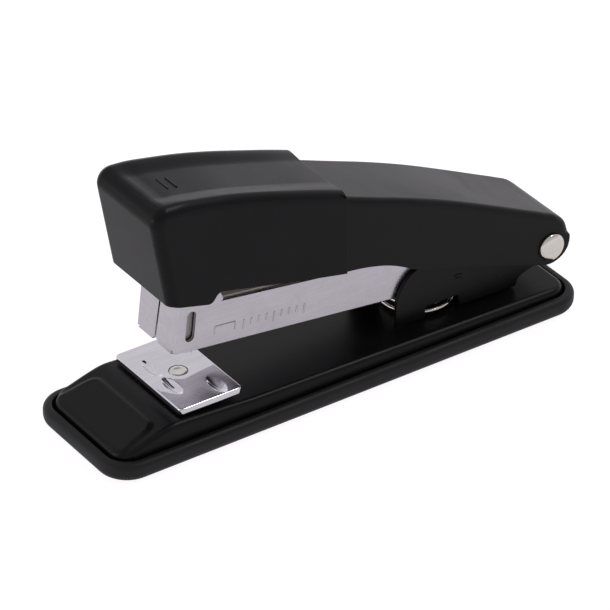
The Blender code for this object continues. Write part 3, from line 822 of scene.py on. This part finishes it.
def bracket_body():
    """Folded bracket: two cheeks on a floor that follows the plate, open round the lift spring."""
    half = node_box("hinge_bracket")[1].y
    sheet, gap = 0.9, 0.3

    def foot(x):
        return on_line(PLATE_TOP, x) + gap

    outline = [(15.6, foot(15.6)), (15.6, 13.2)]
    outline += flowing([(15.8, 14.3), (16.7, 16.4), (18.1, 18.6), (20.2, 20.3), (23.0, 20.95), (27.0, 21.2),
                        (36.0, 20.8), (46.0, 19.7), (53.0, 18.6)], 4)
    outline += arc(HINGE.x, HINGE.z, 4.1, 95.0, -88.0, 20)
    outline += flowing([(54.6, 10.3), (52.4, 9.95), (50.3, 9.3), (48.7, 8.45), (48.0, foot(48.0))], 4)
    outline += [(32.7, foot(32.7)), (32.6, 8.9)] + arc(31.8, 9.3, 0.8, 0.0, 90.0, 5)
    outline += arc(24.2, 9.3, 0.8, 90.0, 180.0, 5) + [(23.4, foot(23.4))]
    bm = drawn(outline, "Y", -half, half)
    folds = edges_where(bm, lambda e: abs(abs(middle(e).y) - half) < NEAR and runs_along(e, 0)
                        and abs(middle(e).z - foot(middle(e).x)) < 0.1)
    rounded(bm, folds, 0.85, 4)
    inside = half - sheet
    opening = [(0.0, 0.0), (36.4, 0.0), (36.4, foot(36.4) + sheet), (70.0, foot(70.0) + sheet)]
    bm = cut(bm, drawn(opening + [(70.0, 40.0), (0.0, 40.0)], "Y", -inside, inside),
             rod(1.68, "Y", HINGE * Vector((1, 0, 1)), -12.0, 12.0))
    for name in ("bracket_rivet_front", "bracket_rivet_rear"):
        lo, hi = node_box(name)
        bm = cut(bm, rod(1.4, "Z", ((lo.x + hi.x) / 2, 0.0, 0.0), 0.0, 14.0))
    bm = broken_edges(bm, 0.12)
    marks = []
    for side in (-1, 1):
        y = side * (half + 0.02)
        marks.append(wire([(31.0, y, 15.35), (32.1, y, 15.5), (33.2, y, 15.2)], 0.16))
        marks.append(wire([(31.5, y, 14.65), (32.4, y, 14.6), (33.2, y, 14.2)], 0.16))
        marks.append(spun([(0.0, -0.3), (0.5, -0.3), (0.5, 0.0), (0.38, 0.14), (0.0, 0.2)], "Y",
                          (43.1, y, 10.9),
                          steps=20))
        if side < 0:
            bmesh.ops.scale(marks[-1], vec=(1, -1, 1), verts=marks[-1].verts[:],
                            space=Matrix.Translation((0, -y, 0)))
            bmesh.ops.reverse_faces(marks[-1], faces=marks[-1].faces[:])
    return added(bm, *marks)


def rivet_body(name):
    lo, hi = node_box(name)
    x = (lo.x + hi.x) / 2
    low, high = lo.z, hi.z
    profile = [(0.0, low), (2.1, low), (2.3, low + 0.2), (2.3, low + 0.65), (1.2, low + 0.65),
               (1.2, high - 0.65)]
    profile += [(2.3, high - 0.65)] + [(0.3 + 2.0 * math.cos(a), high - 0.65 + 0.65 * math.sin(a))
                                       for a in (math.radians(15 * k) for k in range(1, 7))]
    return spun(profile + [(0.0, high)], "Z", (x, 0.0, 0.0))


LIFT = {"x": 27.3, "wide": 8.4, "narrow": 7.3, "wire": 0.42, "turns": 3.4}


def lift_spring_body():
    """Round wire between the sloping plate and the tilted channel, its end turns lying flat."""
    low = on_line(PLATE_TOP, LIFT["x"]) + 0.45 + LIFT["wire"]
    high = 12.15 - LIFT["wire"]
    per_turn = 48
    count = int(LIFT["turns"] * per_turn)
    path = []
    for i in range(count + 1):
        angle = 2 * math.pi * i / per_turn + 0.6
        rise = min(max((i - per_turn / 4) / (count - per_turn / 2), 0.0), 1.0)
        radius = LIFT["wide"] + (LIFT["narrow"] - LIFT["wide"]) * min(rise / 0.65, 1.0)
        lean = (-0.023 - 0.10 * rise) * radius * math.cos(angle)
        path.append((LIFT["x"] + radius * math.cos(angle), radius * math.sin(angle),
                     low + (high - low) * rise + lean))
    return wire(path, LIFT["wire"])


def hinge_pin_body():
    """A riveted pin with a low dome at each end."""
    seat, shank, head = 10.6, 1.6, 3.3
    dome = [(head, seat), (head, seat + 0.28)]
    dome += [(head * math.cos(a),
              seat + 0.28 + 1.06 * math.sin(a)) for a in (math.radians(6 * k) for k in range(1, 15))]
    dome.append((0.0, seat + 1.34))
    profile = [(r, -y) for r, y in reversed(dome)] + [(shank, -seat), (shank, seat)] + dome
    return spun(profile, "Y", (HINGE.x, 0.0, HINGE.z))


# ---------------------------------------------------------------- magazine pieces

CHANNEL_HALF = 7.75
CHANNEL_FLOOR = -5.1
NOSE = -97.2
WALL = 0.85
FLANGE_FOOT = -5.3


def channel_body():
    """Folded channel. Its front is two flaps that meet at a slit, bent in from the side walls."""
    tall = 14.0
    outer = joined(
        rounded_block((-93.4, -CHANNEL_HALF, CHANNEL_FLOOR), (8.0, CHANNEL_HALF, tall), 0, 0.45, 4,
                      lambda m: m.z < 0),
        rounded_block((NOSE, -CHANNEL_HALF, FLANGE_FOOT), (-93.0, CHANNEL_HALF, tall), 2, 1.5, 8,
                      lambda m: m.x < -95))
    inside = CHANNEL_HALF - WALL
    bm = cut(outer,
             rounded_block((-95.0, -inside, CHANNEL_FLOOR + WALL), (20.0, inside, 20.0), 0, 0.35, 4,
                           lambda m: m.z < 0),
             rounded_block((NOSE + WALL, -inside, -9.0), (-93.5, inside, 20.0), 2, 0.65, 5,
                           lambda m: m.x < -95),
             block((NOSE - 1.0, -9.0, -9.0), (-94.3, -6.35, -4.95)),
             block((NOSE - 1.0, 6.35, -9.0), (-94.3, 9.0, -4.95)))
    side = [(NOSE - 0.1, -6.2), (-95.0, -6.2), (-94.5, -4.95)]
    side += flowing([(-93.4, -4.96), (-92.2, -4.85), (-88.0, -4.87), (-60.0, CHANNEL_FLOOR - 0.02)], 4)
    side += [(-6.0, CHANNEL_FLOOR - 0.02)] + arc(0.0, 0.0, 4.0, -100.0, 80.0, 20)
    side += flowing([(-10.0, 4.9), (-16.0, 5.2), (-60.0, 5.2)], 4)
    side += filleted([(-85.6, 5.45, 0.5), (-87.6, 9.2, 0.8), (-96.3, 9.2, 0.8), (NOSE - 0.1, 8.4, 0.3)], 4)
    bm = kept_within(bm, drawn(side, "Y", -20.0, 20.0))
    slot = arc(-93.82, 3.75, 1.1, 0.0, 180.0, 12) + arc(-93.82, -1.3, 1.1, 180.0, 360.0, 12)
    notch = [(-1.55, -9.0), (-1.55, -5.5), (-1.0, -4.75), (-0.25, -4.55), (-0.25, 12.0), (0.25, 12.0),
             (0.25, -4.55), (0.75, -4.9), (1.05, -5.5), (1.35, -9.0)]
    bm = cut(bm, drawn(slot, "Y", -10.0, 10.0), drawn(notch, "X", NOSE - 1.0, -94.9),
             rod(1.68, "Y", (0.0, 0.0, 0.0), -12.0, 12.0, 48),
             rod(1.15, "Y", (-11.6, 0.0, 0.0), -12.0, 12.0, 32),
             rod(0.28, "X", (0.0, 6.35, -4.95), NOSE - 1.0, -93.6, 16),
             rod(0.28, "X", (0.0, -6.35, -4.95), NOSE - 1.0, -93.6, 16))
    return broken_edges(bm, 0.11)


def size_marks_body():
    """Raised outline of a staple and a row of gauge ticks, on both walls."""
    bead = 0.17
    marks = []
    for side in (-1, 1):
        y = side * (CHANNEL_HALF + 0.04)
        staple = [(-87.5, y, -2.2), (-87.5, y, -0.45), (-87.35, y, -0.25), (-82.45, y, -0.2),
                  (-82.3, y, -0.4),
                  (-82.3, y, -2.15)]
        marks.append(wire(staple, bead))
        for k in range(9):
            x = -80.2 + 1.95 * k
            low = -2.55 if k % 4 == 0 else -1.75
            marks.append(wire([(x, y, low), (x + 0.12, y, -0.25)], bead))
    return added(*marks)


def nose_guide_body():
    """Two thin guides just inside the flaps, seen through the side slots."""
    outline = filleted([(-95.5, -4.2, 0.3), (-91.0, -4.2, 0.3), (-91.0, 4.55, 0.5), (-94.0, 4.55, 0.25),
                        (-94.15, 3.75, 0.2), (-95.5, 3.75, 0.3)], 4)
    return added(drawn(outline, "Y", -6.68, -6.4), drawn(outline, "Y", 6.4, 6.68))


RAIL = {"half": 5.6, "sheet": 0.8, "top": 1.9, "bottom": -3.5, "front": -93.9, "rear": -7.0}
ROD_Z = -1.4
CROSS_X = -11.6
LEAF_RIVET_X = -8.7


def rail_body():
    out, sheet = RAIL["half"], RAIL["sheet"]
    top, bottom = RAIL["top"], RAIL["bottom"]
    section = filleted([(-out, bottom, 0.0), (-out, top, 0.9), (out, top, 0.9), (out, bottom, 0.0),
                        (out - sheet, bottom, 0.0), (out - sheet, top - sheet, 0.3),
                        (-out + sheet, top - sheet, 0.3), (-out + sheet, bottom, 0.0)], 5)
    slot = filleted([(-90.6, -1.5, 0.6), (-30.0, -1.5, 1.4), (-30.0, 1.5, 1.4), (-90.6, 1.5, 0.6)], 6)
    bm = cut(drawn(section, "X", RAIL["front"], RAIL["rear"]), drawn(slot, "Z", 0.0, 5.0),
             rod(1.15, "Y", (CROSS_X, 0.0, 0.0), -12.0, 12.0),
             rod(0.9, "Z", (LEAF_RIVET_X, 0.0, 0.0), 0.0, 6.0))
    return broken_edges(bm, 0.1)


def rod_block_body(name):
    lo, hi = {"rod_block_front": (-93.6, -91.4), "rod_block_rear": (-17.0, -14.5)}[name]
    bm = block((lo, -4.4, -3.4), (hi, 4.4, 0.7))
    bm = cut(bm, rod(1.0, "X", (0.0, 0.0, ROD_Z), lo - 1.0, hi + 1.0))
    return broken_edges(bm, 0.25, 3)


def guide_rod_body():
    profile = [(0.0, -93.4), (0.7, -93.4), (0.9, -93.2), (0.9, -14.2), (0.7, -14.0), (0.0, -14.0)]
    return spun(profile, "X", (0.0, 0.0, ROD_Z), steps=32)


def cross_pin_body():
    profile = [(0.0, -7.7), (0.8, -7.7), (0.95, -7.55), (0.95, 7.55), (0.8, 7.7), (0.0, 7.7)]
    return spun(profile, "Y", (CROSS_X, 0.0, 0.0), steps=40)


def bush_body():
    profile = filleted([(1.68, -6.4, 0.2), (3.0, -6.4, 0.3), (3.0, 6.4, 0.3), (1.68, 6.4, 0.2)], 3)
    return spun(profile, "Y", (0.0, 0.0, 0.0), ring=True)


def pusher_spring_body():
    path = [(z, x, y + ROD_Z) for x, y, z in helix((0.0, 0.0), 1.55, 22, -86.4, -17.6, 24)]
    return wire(path, 0.24, 2)


def return_leaf_body():
    """Spring leaf that lifts the handle: a flat blade, stepped down to its rivet."""
    top = flowing([(-86.9, 6.0), (-60.0, 5.75), (-22.0, 5.75), (-18.0, 5.2), (-14.0, 2.95), (-7.2, 2.95)], 5)
    under = flowing([(-7.2, 2.2), (-14.3, 2.2), (-18.4, 4.5), (-22.0, 5.05), (-60.0, 5.05), (-86.9, 5.3)], 5)
    bm = cut(drawn(top + under, "Y", -6.4, 6.4), rod(0.9, "Z", (LEAF_RIVET_X, 0.0, 0.0), 0.0, 6.0))
    return broken_edges(bm, 0.12)


def leaf_rivet_body():
    profile = [(0.0, 0.2), (1.3, 0.2), (1.3, 0.8), (0.7, 0.8), (0.7, 3.2), (1.4, 3.2)]
    profile += [(1.35, 3.35), (1.1, 3.58), (0.6, 3.7), (0.0, 3.72)]
    return spun(profile, "Z", (LEAF_RIVET_X, 0.0, 0.0), steps=36)


def pusher_body():
    """A saddle over the rail, with a stem through its slot to a ring on the rod."""
    out, leg, under = 6.3, 0.4, 2.2
    section = filleted([(-out, -3.3, 0.0), (-out, 3.2, 0.9), (out, 3.2, 0.9), (out, -3.3, 0.0),
                        (out - leg, -3.3, 0.0), (out - leg, under, 0.3), (-out + leg, under, 0.3),
                        (-out + leg, -3.3, 0.0)], 5)
    ring = [(0.0, -90.6), (1.95, -90.6), (1.95, -87.0), (0.0, -87.0)]
    bm = joined(drawn(section, "X", -93.6, -84.0), block((-90.0, -1.1, -2.6), (-87.0, 1.1, 2.6)),
                spun(ring, "X", (0.0, 0.0, ROD_Z), steps=32))
    return broken_edges(cut(bm, rod(1.0, "X", (0.0, 0.0, ROD_Z), -100.0, -80.0)), 0.12)


# ---------------------------------------------------------------- handle pieces

HANDLE_HALF = 10.45
CAP_HALF = 12.0
SEAM = 0.5


def handle_body():
    """Pressed cover: a crowned top bent down into two cheeks that reach round the hinge."""
    edge = sizes().handle_edge
    top = flowing([(-14.0, 51.1), (0.0, 46.7), (10.0, 43.0), (20.0, 39.3), (30.0, 35.2), (40.0, 30.6),
                   (50.0, 25.8), (55.4, 23.2), (58.9, 21.3), (60.7, 19.5), (61.5, 17.3), (61.7, 14.9),
                   (61.2, 12.9), (60.0, 11.4), (58.2, 10.4), (56.2, 10.1), (54.0, 10.6)], 5)
    under = flowing([(50.0, 12.0), (42.5, 14.5), (28.9, 19.0), (19.0, 22.25), (16.0, 23.95), (12.6, 25.5),
                     (8.7, 26.7), (4.8, 27.5), (-0.4, 28.2), (-14.0, 30.8)], 4)
    bm = drawn(top + under, "Y", -HANDLE_HALF, HANDLE_HALF)

    def on_bend(e):
        m = middle(e)
        above_foot = m.z > HINGE.z + 1.5 + 0.30 * max(HINGE.x - m.x, 0.0)
        return abs(abs(m.y) - HANDLE_HALF) < NEAR and not runs_along(e, 1) and above_foot

    rounded(bm, edges_where(bm, on_bend), edge, 7)
    sheet = 1.0
    inside = [(-20.0, 52.0), (0.0, 45.5), (10.0, 41.65), (20.0, 37.9), (30.0, 33.75), (40.0, 29.1),
              (50.0, 24.3), (54.6, 22.0), (57.8, 20.4), (59.3, 19.2), (60.2, 17.2), (70.0, 17.2),
              (70.0, -5.0), (-20.0, -5.0)]
    hollow = drawn(inside, "Y", -HANDLE_HALF + sheet, HANDLE_HALF - sheet)
    front = block((-40.0, -20.0, -10.0), (SEAM + 0.3, 20.0, 80.0))
    bm = cut(bm, hollow, front, rod(1.68, "Y", (HINGE.x, 0.0, HINGE.z), -14.0, 14.0, 48))
    return broken_edges(bm, 0.16)


def tongue_body():
    """Strip of the cover that runs forward under the cap and carries its screws."""
    line = flowing([(4.0, 44.9), (0.0, 46.4), (-10.0, 49.75), (-20.0, 52.5), (-30.0, 54.4), (-38.0, 55.5)], 4)
    outline = line + [(x, z - 1.0) for x, z in reversed(line)]
    bm = drawn(outline, "Y", -8.0, 8.0)
    holes = [rod(1.5, "Z", (x, 0.0, 0.0), 30.0, 70.0) for x in (-31.0, -16.0)]
    return broken_edges(cut(bm, *holes), 0.14)


CAP_TOP = [(-44.4, 60.05), (-41.0, 59.85), (-35.0, 58.8), (-27.0, 57.1), (-20.0, 55.2), (-12.0, 52.7),
           (-4.0, 50.1), (10.0, 45.0)]


def dish_depth(x, y):
    """How far the thumb dish drops the cap's top, in from its rim."""
    near = ease((CAP_HALF - 2.2 - abs(y)) / 5.0)
    front = ease((x + 46.4) / 5.5)
    back = 1.0 - 0.55 * ease((x + 22.0) / 24.0)
    return sizes().cap_dish * near * front * back


def cap_body():
    """Moulded cap: rounded box with a dished top, hollow and open below and behind."""
    s = sizes()
    top = flowing(CAP_TOP, 6)[6:]
    nose = filleted([(-41.5, 20.0, 0.0), (-48.4, 60.35, s.cap_nose), (*top[0], 0.0)], 9)
    bm = drawn([(20.0, 10.0)] + nose[:-1] + top + [(20.0, 41.0)], "Y", -CAP_HALF, CAP_HALF)

    def on_rim(e):
        m = middle(e)
        outer = m.x < 15.0 and (m.z > 40.0 or m.x < -41.0)
        return abs(abs(m.y) - CAP_HALF) < NEAR and not runs_along(e, 1) and outer

    rounded(bm, edges_where(bm, on_rim), s.cap_edge, 8)
    scored(bm, 0, spread(-46.0, 0.0, 1.15))
    scored(bm, 1, spread(-CAP_HALF + 0.9, CAP_HALF - 0.9, 0.7))
    for vert in bm.verts:
        x, y, z = vert.co
        if z > 44.0 - 0.3 * x - 3.0 * ease((x + 30) / 20) and x > -47.5 and abs(y) < CAP_HALF - 2.0:
            vert.co.z -= dish_depth(x, y)
    trim = filleted([(-60.0, -10.0, 0.0), (-60.0, 36.2, 0.0), (-43.2, 36.0, 0.9), (-34.0, 33.6, 1.6),
                     (-32.1, 36.05, 1.6), (-12.0, 31.3, 0.0), (-3.0, 29.4, 0.0), (6.0, 27.5, 0.0),
                     (6.0, -10.0, 0.0)], 6)
    wall = 1.9
    inside = [(-44.4, 53.4), (-42.0, 54.8), (-38.0, 54.9), (-30.0, 53.9), (-20.0, 52.2), (-10.0, 49.6),
              (0.0, 46.6), (10.0, 43.2), (10.0, 0.0), (-41.0, 20.0), (-42.2, 36.4)]
    bm = cut(bm, drawn(trim, "Y", -20.0, 20.0), block((SEAM, -20.0, -20.0), (60.0, 20.0, 80.0)),
             drawn(inside, "Y", -CAP_HALF + wall, CAP_HALF - wall))
    return broken_edges(bm, 0.18, 2, 50.0)


def grips_body():
    """Two low ribs across the front of the dish."""
    ribs = []
    for x in (-38.2, -36.0):
        surface = on_line(CAP_TOP, x) - dish_depth(x, 0.0) - 0.08
        path = [(x, y, surface) for y in spread(-2.1, 2.1, 0.5)]
        ribs.append(wire(path, 0.34, 4))
    return added(*ribs)


def cap_screw_body(name):
    """Cheese-head screw up into the cap, with a slot across its head."""
    lo, hi = node_box(name)
    x = (lo.x + hi.x) / 2
    high = hi.z
    shoulder = lo.z + 0.8
    profile = [(0.0, lo.z), (2.3, lo.z), (2.5, lo.z + 0.15), (2.5, shoulder), (1.1, shoulder)]
    threads = int((high - shoulder - 0.5) / 0.4)
    for k in range(threads):
        z = shoulder + 0.4 * k
        profile += [(1.1, z + 0.1), (0.92, z + 0.3)]
    profile += [(0.9, high - 0.3), (0.6, high), (0.0, high)]
    slot = block((x - 3.0, -0.3, lo.z - 1.0), (x + 3.0, 0.3, lo.z + 0.4))
    return cut(spun(profile, "Z", (x, 0.0, 0.0), steps=40), slot)


def driver_leaf_body():
    top = [(20.0, 37.45), (10.0, 41.2), (8.2, 41.3), (-35.1, 41.9)]
    under = [(-35.1, 41.0), (8.0, 40.4), (10.0, 40.3), (20.0, 36.55)]
    return broken_edges(drawn(top + under, "Y", -5.5, 5.5), 0.14)


def driver_blade_body():
    """The blade is an arc about the hinge, so it stays in its gap through the stroke."""
    radius, reach = 95.0, 3.4
    tilt = math.degrees(TILT)
    tip = 180.0 - tilt - math.degrees(math.asin(reach / radius))
    root = 180.0 - tilt - 9.3
    outline = arc(HINGE.x, HINGE.z, radius + 0.25, tip, root, 24) + arc(HINGE.x, HINGE.z, radius - 0.3,
                                                                        root, tip, 24)
    return broken_edges(drawn(outline, "Y", -6.3, 6.3), 0.08)


# ---------------------------------------------------------------- studio

def strength_by_ray(tree, felt, seen):
    """One strength for what lights the object, and another for what the camera sees."""
    glow = node(tree, "Mix", data_type="FLOAT")
    feed(tree, tree.nodes.new("ShaderNodeLightPath").outputs["Is Camera Ray"], glow.inputs[0])
    feed(tree, felt, glow.inputs[2])
    feed(tree, seen, glow.inputs[3])
    return glow.outputs[0]


def table_finish():
    """A pale surface that the camera sees as white and the object feels as a grey room."""
    tint = (1.0, 0.975, 1.0)
    mat = bpy.data.materials.new("white_table")
    mat.use_nodes = True
    tree = mat.node_tree
    shader = tree.nodes["Principled BSDF"]
    shader.inputs["Roughness"].default_value = 0.6
    shader.inputs["Specular IOR Level"].default_value = 0.1
    shader.inputs["Base Color"].default_value = (*scaled(tint, 0.25), 1.0)
    light = node(tree, "Emission")
    light.inputs["Color"].default_value = (*tint, 1.0)
    feed(tree, strength_by_ray(tree, 0.52, 0.93), light.inputs["Strength"])
    both = node(tree, "AddShader")
    feed(tree, light.outputs[0], both.inputs[0])
    feed(tree, shader.outputs[0], both.inputs[1])
    feed(tree, both.outputs[0], tree.nodes["Material Output"].inputs["Surface"])
    return mat


def build_floor():
    bm = bmesh.new()
    bmesh.ops.create_grid(bm, x_segments=4, y_segments=4, size=3.0)
    bmesh.ops.translate(bm, vec=(0.0, 0.0, -0.0002), verts=bm.verts[:])
    floor = holder_of(bm, "studio_floor")
    floor.data.materials.append(table_finish())


def build_surround(overhead, horizon, front):
    """A white room, brightest low down and behind the object, that the camera sees as plain white."""
    world = bpy.data.worlds.new("studio")
    world.use_nodes = True
    tree = world.node_tree
    back = tree.nodes["Background"]
    back.inputs["Color"].default_value = (1.0, 0.972, 1.01, 1.0)
    parts = node(tree, "SeparateXYZ")
    feed(tree, node(tree, "TexCoord").outputs["Generated"], parts.inputs[0])
    rising = remapped(tree, parts.outputs["Z"], 0.0, 0.35, horizon, overhead)
    behind = remapped(tree, parts.outputs["Y"], -0.5, 0.4, front, 1.0)
    felt = maths(tree, "MULTIPLY", rising, behind)
    feed(tree, strength_by_ray(tree, felt, 1.05), back.inputs["Strength"])
    bpy.context.scene.world = world


def aimed(name, data, spot, towards):
    """Puts a lamp or the camera at a spot, facing along a direction."""
    holder = bpy.data.objects.new(name, data)
    holder.location = spot
    holder.rotation_euler = towards.to_track_quat("-Z", "Y").to_euler()
    bpy.context.scene.collection.objects.link(holder)
    return holder


def softbox(name, spot, size, watts):
    light = bpy.data.lights.new(name, "AREA")
    light.shape = "RECTANGLE"
    light.size, light.size_y = size
    light.energy = watts
    light.color = (1.0, 0.98, 1.0)
    aimed(name, light, spot, Vector((0.0, 0.0, 0.03)) - Vector(spot))


def build_camera(studio):
    away = Vector((math.cos(studio.rise) * math.sin(studio.turn),
                   -math.cos(studio.rise) * math.cos(studio.turn),
                   math.sin(studio.rise)))
    camera = bpy.data.cameras.new("camera")
    camera.lens = studio.lens
    camera.sensor_width = 36.0
    bpy.context.scene.camera = aimed("camera", camera, Vector(studio.aim) + away * studio.distance, -away)


# ---------------------------------------------------------------- operators

class STAPLER_OT_finishes(bpy.types.Operator):
    """Make the shared effects and the finishes"""

    bl_idname = "stapler.finishes"
    bl_label = "Finishes"

    def execute(self, context):
        build_finishes()
        return {"FINISHED"}


class STAPLER_OT_sole(bpy.types.Operator):
    """Add the soft moulded sole"""

    bl_idname = "stapler.sole"
    bl_label = "Sole"

    def execute(self, context):
        place("sole", sole_body(), "base", "soft_black", "soft_sole", ["base_pad"])
        return {"FINISHED"}


class STAPLER_OT_base_plate(bpy.types.Operator):
    """Add the pressed base plate"""

    bl_idname = "stapler.base_plate"
    bl_label = "Base plate"

    def execute(self, context):
        place("pressed_plate", plate_body(), "base", "black_paint", "baked_paint", ["base_plate"])
        return {"FINISHED"}


class STAPLER_OT_anvil(bpy.types.Operator):
    """Add the turning anvil with its stud, button and spring"""

    bl_idname = "stapler.anvil"
    bl_label = "Anvil"

    def execute(self, context):
        place("clincher", anvil_body(), "anvil_group", "chrome", "bright_chrome", ["anvil"])
        place("clincher_stud", stud_body(), "anvil_group", "nickel", "bright_nickel", ["anvil_stud"])
        place("turn_button", button_body(), "anvil_group", "steel", "ground_steel", ["anvil_button"])
        coil = wire(helix((TURN.x, 0.0), 3.2, 3, 4.1, 6.5), 0.35)
        place("clincher_spring", coil, "base", "steel", "spring_steel", ["anvil_spring"])
        return {"FINISHED"}


class STAPLER_OT_bracket(bpy.types.Operator):
    """Add the hinge bracket and its rivets"""

    bl_idname = "stapler.bracket"
    bl_label = "Bracket"

    def execute(self, context):
        place("folded_bracket", bracket_body(), "base", "black_paint", "bracket_paint", ["hinge_bracket"])
        for end in ("front", "rear"):
            stands_for = "bracket_rivet_" + end
            place("plate_rivet_" + end, rivet_body(stands_for), "base", "steel", "ground_steel",
                  [stands_for])
        return {"FINISHED"}


class STAPLER_OT_springs(bpy.types.Operator):
    """Add the lift spring, which flattens as the magazine is pressed down, and the pusher's spring"""

    bl_idname = "stapler.springs"
    bl_label = "Springs"

    def execute(self, context):
        lift = place("lift_coil", lift_spring_body(), "base", "nickel", "bright_nickel", ["lift_spring"])
        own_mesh(lift)
        push = place("feed_coil", pusher_spring_body(), "magazine", "steel", "spring_steel",
                     ["pusher_spring"], CHANNEL)
        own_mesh(push)
        return {"FINISHED"}


class STAPLER_OT_channel(bpy.types.Operator):
    """Add the nickel channel, its size marks and the guides in its nose"""

    bl_idname = "stapler.channel"
    bl_label = "Channel"

    def execute(self, context):
        place("staple_channel", channel_body(), "magazine", "nickel", "satin_nickel",
              ["magazine_channel"], CHANNEL)
        place("size_marks", size_marks_body(), "magazine", "nickel", "satin_nickel", (), CHANNEL)
        place("nose_guides", nose_guide_body(), "magazine", "steel", "shade_darkened_steel", (), CHANNEL)
        return {"FINISHED"}


class STAPLER_OT_rail(bpy.types.Operator):
    """Add the staple rail, the guide rod with its blocks, the cross pin and the hinge bush"""

    bl_idname = "stapler.rail"
    bl_label = "Rail"

    def execute(self, context):
        pieces = [
            ("feed_rail", rail_body(), "shade_darkened_steel", "staple_rail"),
            ("rod_stop_front", rod_block_body("rod_block_front"), "shade_darkened_steel", "rod_block_front"),
            ("rod_stop_rear", rod_block_body("rod_block_rear"), "shade_darkened_steel", "rod_block_rear"),
            ("feed_rod", guide_rod_body(), "spring_steel", "guide_rod"),
            ("rail_pin", cross_pin_body(), "ground_steel", "rail_cross_pin"),
            ("hinge_bush", bush_body(), "ground_steel", "pivot_bush"),
        ]
        for name, bm, finish, stands_for in pieces:
            place(name, bm, "magazine", "steel", finish, [stands_for], CHANNEL)
        return {"FINISHED"}


class STAPLER_OT_pusher(bpy.types.Operator):
    """Add the pusher that rides along the rail"""

    bl_idname = "stapler.pusher"
    bl_label = "Pusher"

    def execute(self, context):
        place("staple_pusher", pusher_body(), "pusher_group", "steel", "ground_steel", ["pusher"], CHANNEL)
        return {"FINISHED"}


class STAPLER_OT_return_leaf(bpy.types.Operator):
    """Add the spring leaf that lifts the handle, and its rivet"""

    bl_idname = "stapler.return_leaf"
    bl_label = "Return leaf"

    def execute(self, context):
        place("lifting_leaf", return_leaf_body(), "magazine", "steel", "pale_leaf",
              ["return_leaf"], CHANNEL)
        place("lifting_leaf_rivet", leaf_rivet_body(), "magazine", "steel", "ground_steel",
              ["leaf_rivet"], CHANNEL)
        return {"FINISHED"}


class STAPLER_OT_handle(bpy.types.Operator):
    """Add the pressed handle cover and the strip that carries its cap"""

    bl_idname = "stapler.handle"
    bl_label = "Handle"

    def execute(self, context):
        place("handle_cover", handle_body(), "handle", "black_paint", "baked_paint", ["handle_shell"])
        place("cap_strip", tongue_body(), "handle", "black_paint", "baked_paint", ["handle_shell"])
        return {"FINISHED"}


class STAPLER_OT_cap(bpy.types.Operator):
    """Add the moulded cap with its grip ribs, and the screws that hold it"""

    bl_idname = "stapler.cap"
    bl_label = "Cap"

    def execute(self, context):
        place("moulded_cap", cap_body(), "handle", "black_plastic", "cap_plastic", ["front_cap"])
        place("cap_grips", grips_body(), "handle", "black_plastic", "cap_plastic")
        for end in ("front", "rear"):
            stands_for = "cap_screw_" + end
            place("slot_screw_" + end, cap_screw_body(stands_for), "handle", "steel", "ground_steel",
                  [stands_for])
        return {"FINISHED"}


class STAPLER_OT_driver(bpy.types.Operator):
    """Add the leaf and the blade that drive a staple"""

    bl_idname = "stapler.driver"
    bl_label = "Driver"

    def execute(self, context):
        place("drive_leaf", driver_leaf_body(), "handle", "steel", "spring_steel", ["driver_leaf"])
        place("drive_blade", driver_blade_body(), "handle", "steel", "shade_darkened_steel", ["driver_blade"])
        return {"FINISHED"}


class STAPLER_OT_hinge_pin(bpy.types.Operator):
    """Add the domed pin that everything turns on"""

    bl_idname = "stapler.hinge_pin"
    bl_label = "Hinge pin"

    def execute(self, context):
        place("domed_pin", hinge_pin_body(), "base", "nickel", "bright_nickel", ["hinge_pin"])
        return {"FINISHED"}


class STAPLER_OT_studio(bpy.types.Operator):
    """Add the white floor, the surround, the soft lights and the camera"""

    bl_idname = "stapler.studio"
    bl_label = "Studio"

    def execute(self, context):
        studio = context.scene.stapler_studio
        build_floor()
        build_surround(studio.surround, studio.horizon, studio.front)
        softbox("overhead_strip", (0.55, -0.16, 1.05), (0.70, 0.16), 2.2)
        softbox("left_box", (-1.10, 0.25, 0.18), (0.50, 0.40), 1.0)
        build_camera(studio)
        context.scene.view_settings.view_transform = "Standard"
        return {"FINISHED"}


PIECES = (
    STAPLER_OT_finishes,
    STAPLER_OT_sole,
    STAPLER_OT_base_plate,
    STAPLER_OT_anvil,
    STAPLER_OT_bracket,
    STAPLER_OT_springs,
    STAPLER_OT_channel,
    STAPLER_OT_rail,
    STAPLER_OT_pusher,
    STAPLER_OT_return_leaf,
    STAPLER_OT_handle,
    STAPLER_OT_cap,
    STAPLER_OT_driver,
    STAPLER_OT_hinge_pin,
    STAPLER_OT_studio,
)


class STAPLER_PT_pieces(bpy.types.Panel):
    """The stapler's sizes, colours, studio and pieces"""

    bl_idname = "STAPLER_PT_pieces"
    bl_label = "Stapler"
    bl_space_type = "VIEW_3D"
    bl_region_type = "UI"
    bl_category = "Stapler"

    def draw(self, context):
        column = self.layout.column()
        for attribute in SETTINGS:
            settings = getattr(context.scene, attribute)
            for name in settings.bl_rna.properties.keys():
                if name not in {"rna_type", "name"}:
                    column.prop(settings, name)
        for piece in PIECES:
            column.operator(piece.bl_idname)


CLASSES = (*SETTINGS.values(), *PIECES, STAPLER_PT_pieces)


def register():
    for cls in CLASSES:
        bpy.utils.register_class(cls)
    for attribute, group in SETTINGS.items():
        setattr(bpy.types.Scene, attribute, bpy.props.PointerProperty(type=group))


def unregister():
    for attribute in SETTINGS:
        delattr(bpy.types.Scene, attribute)
    for cls in reversed(CLASSES):
        bpy.utils.unregister_class(cls)


def main():
    register()
    for piece in PIECES:
        group, name = piece.bl_idname.split(".")
        getattr(getattr(bpy.ops, group), name)()
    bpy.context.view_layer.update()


if __name__ == "__main__":
    main()
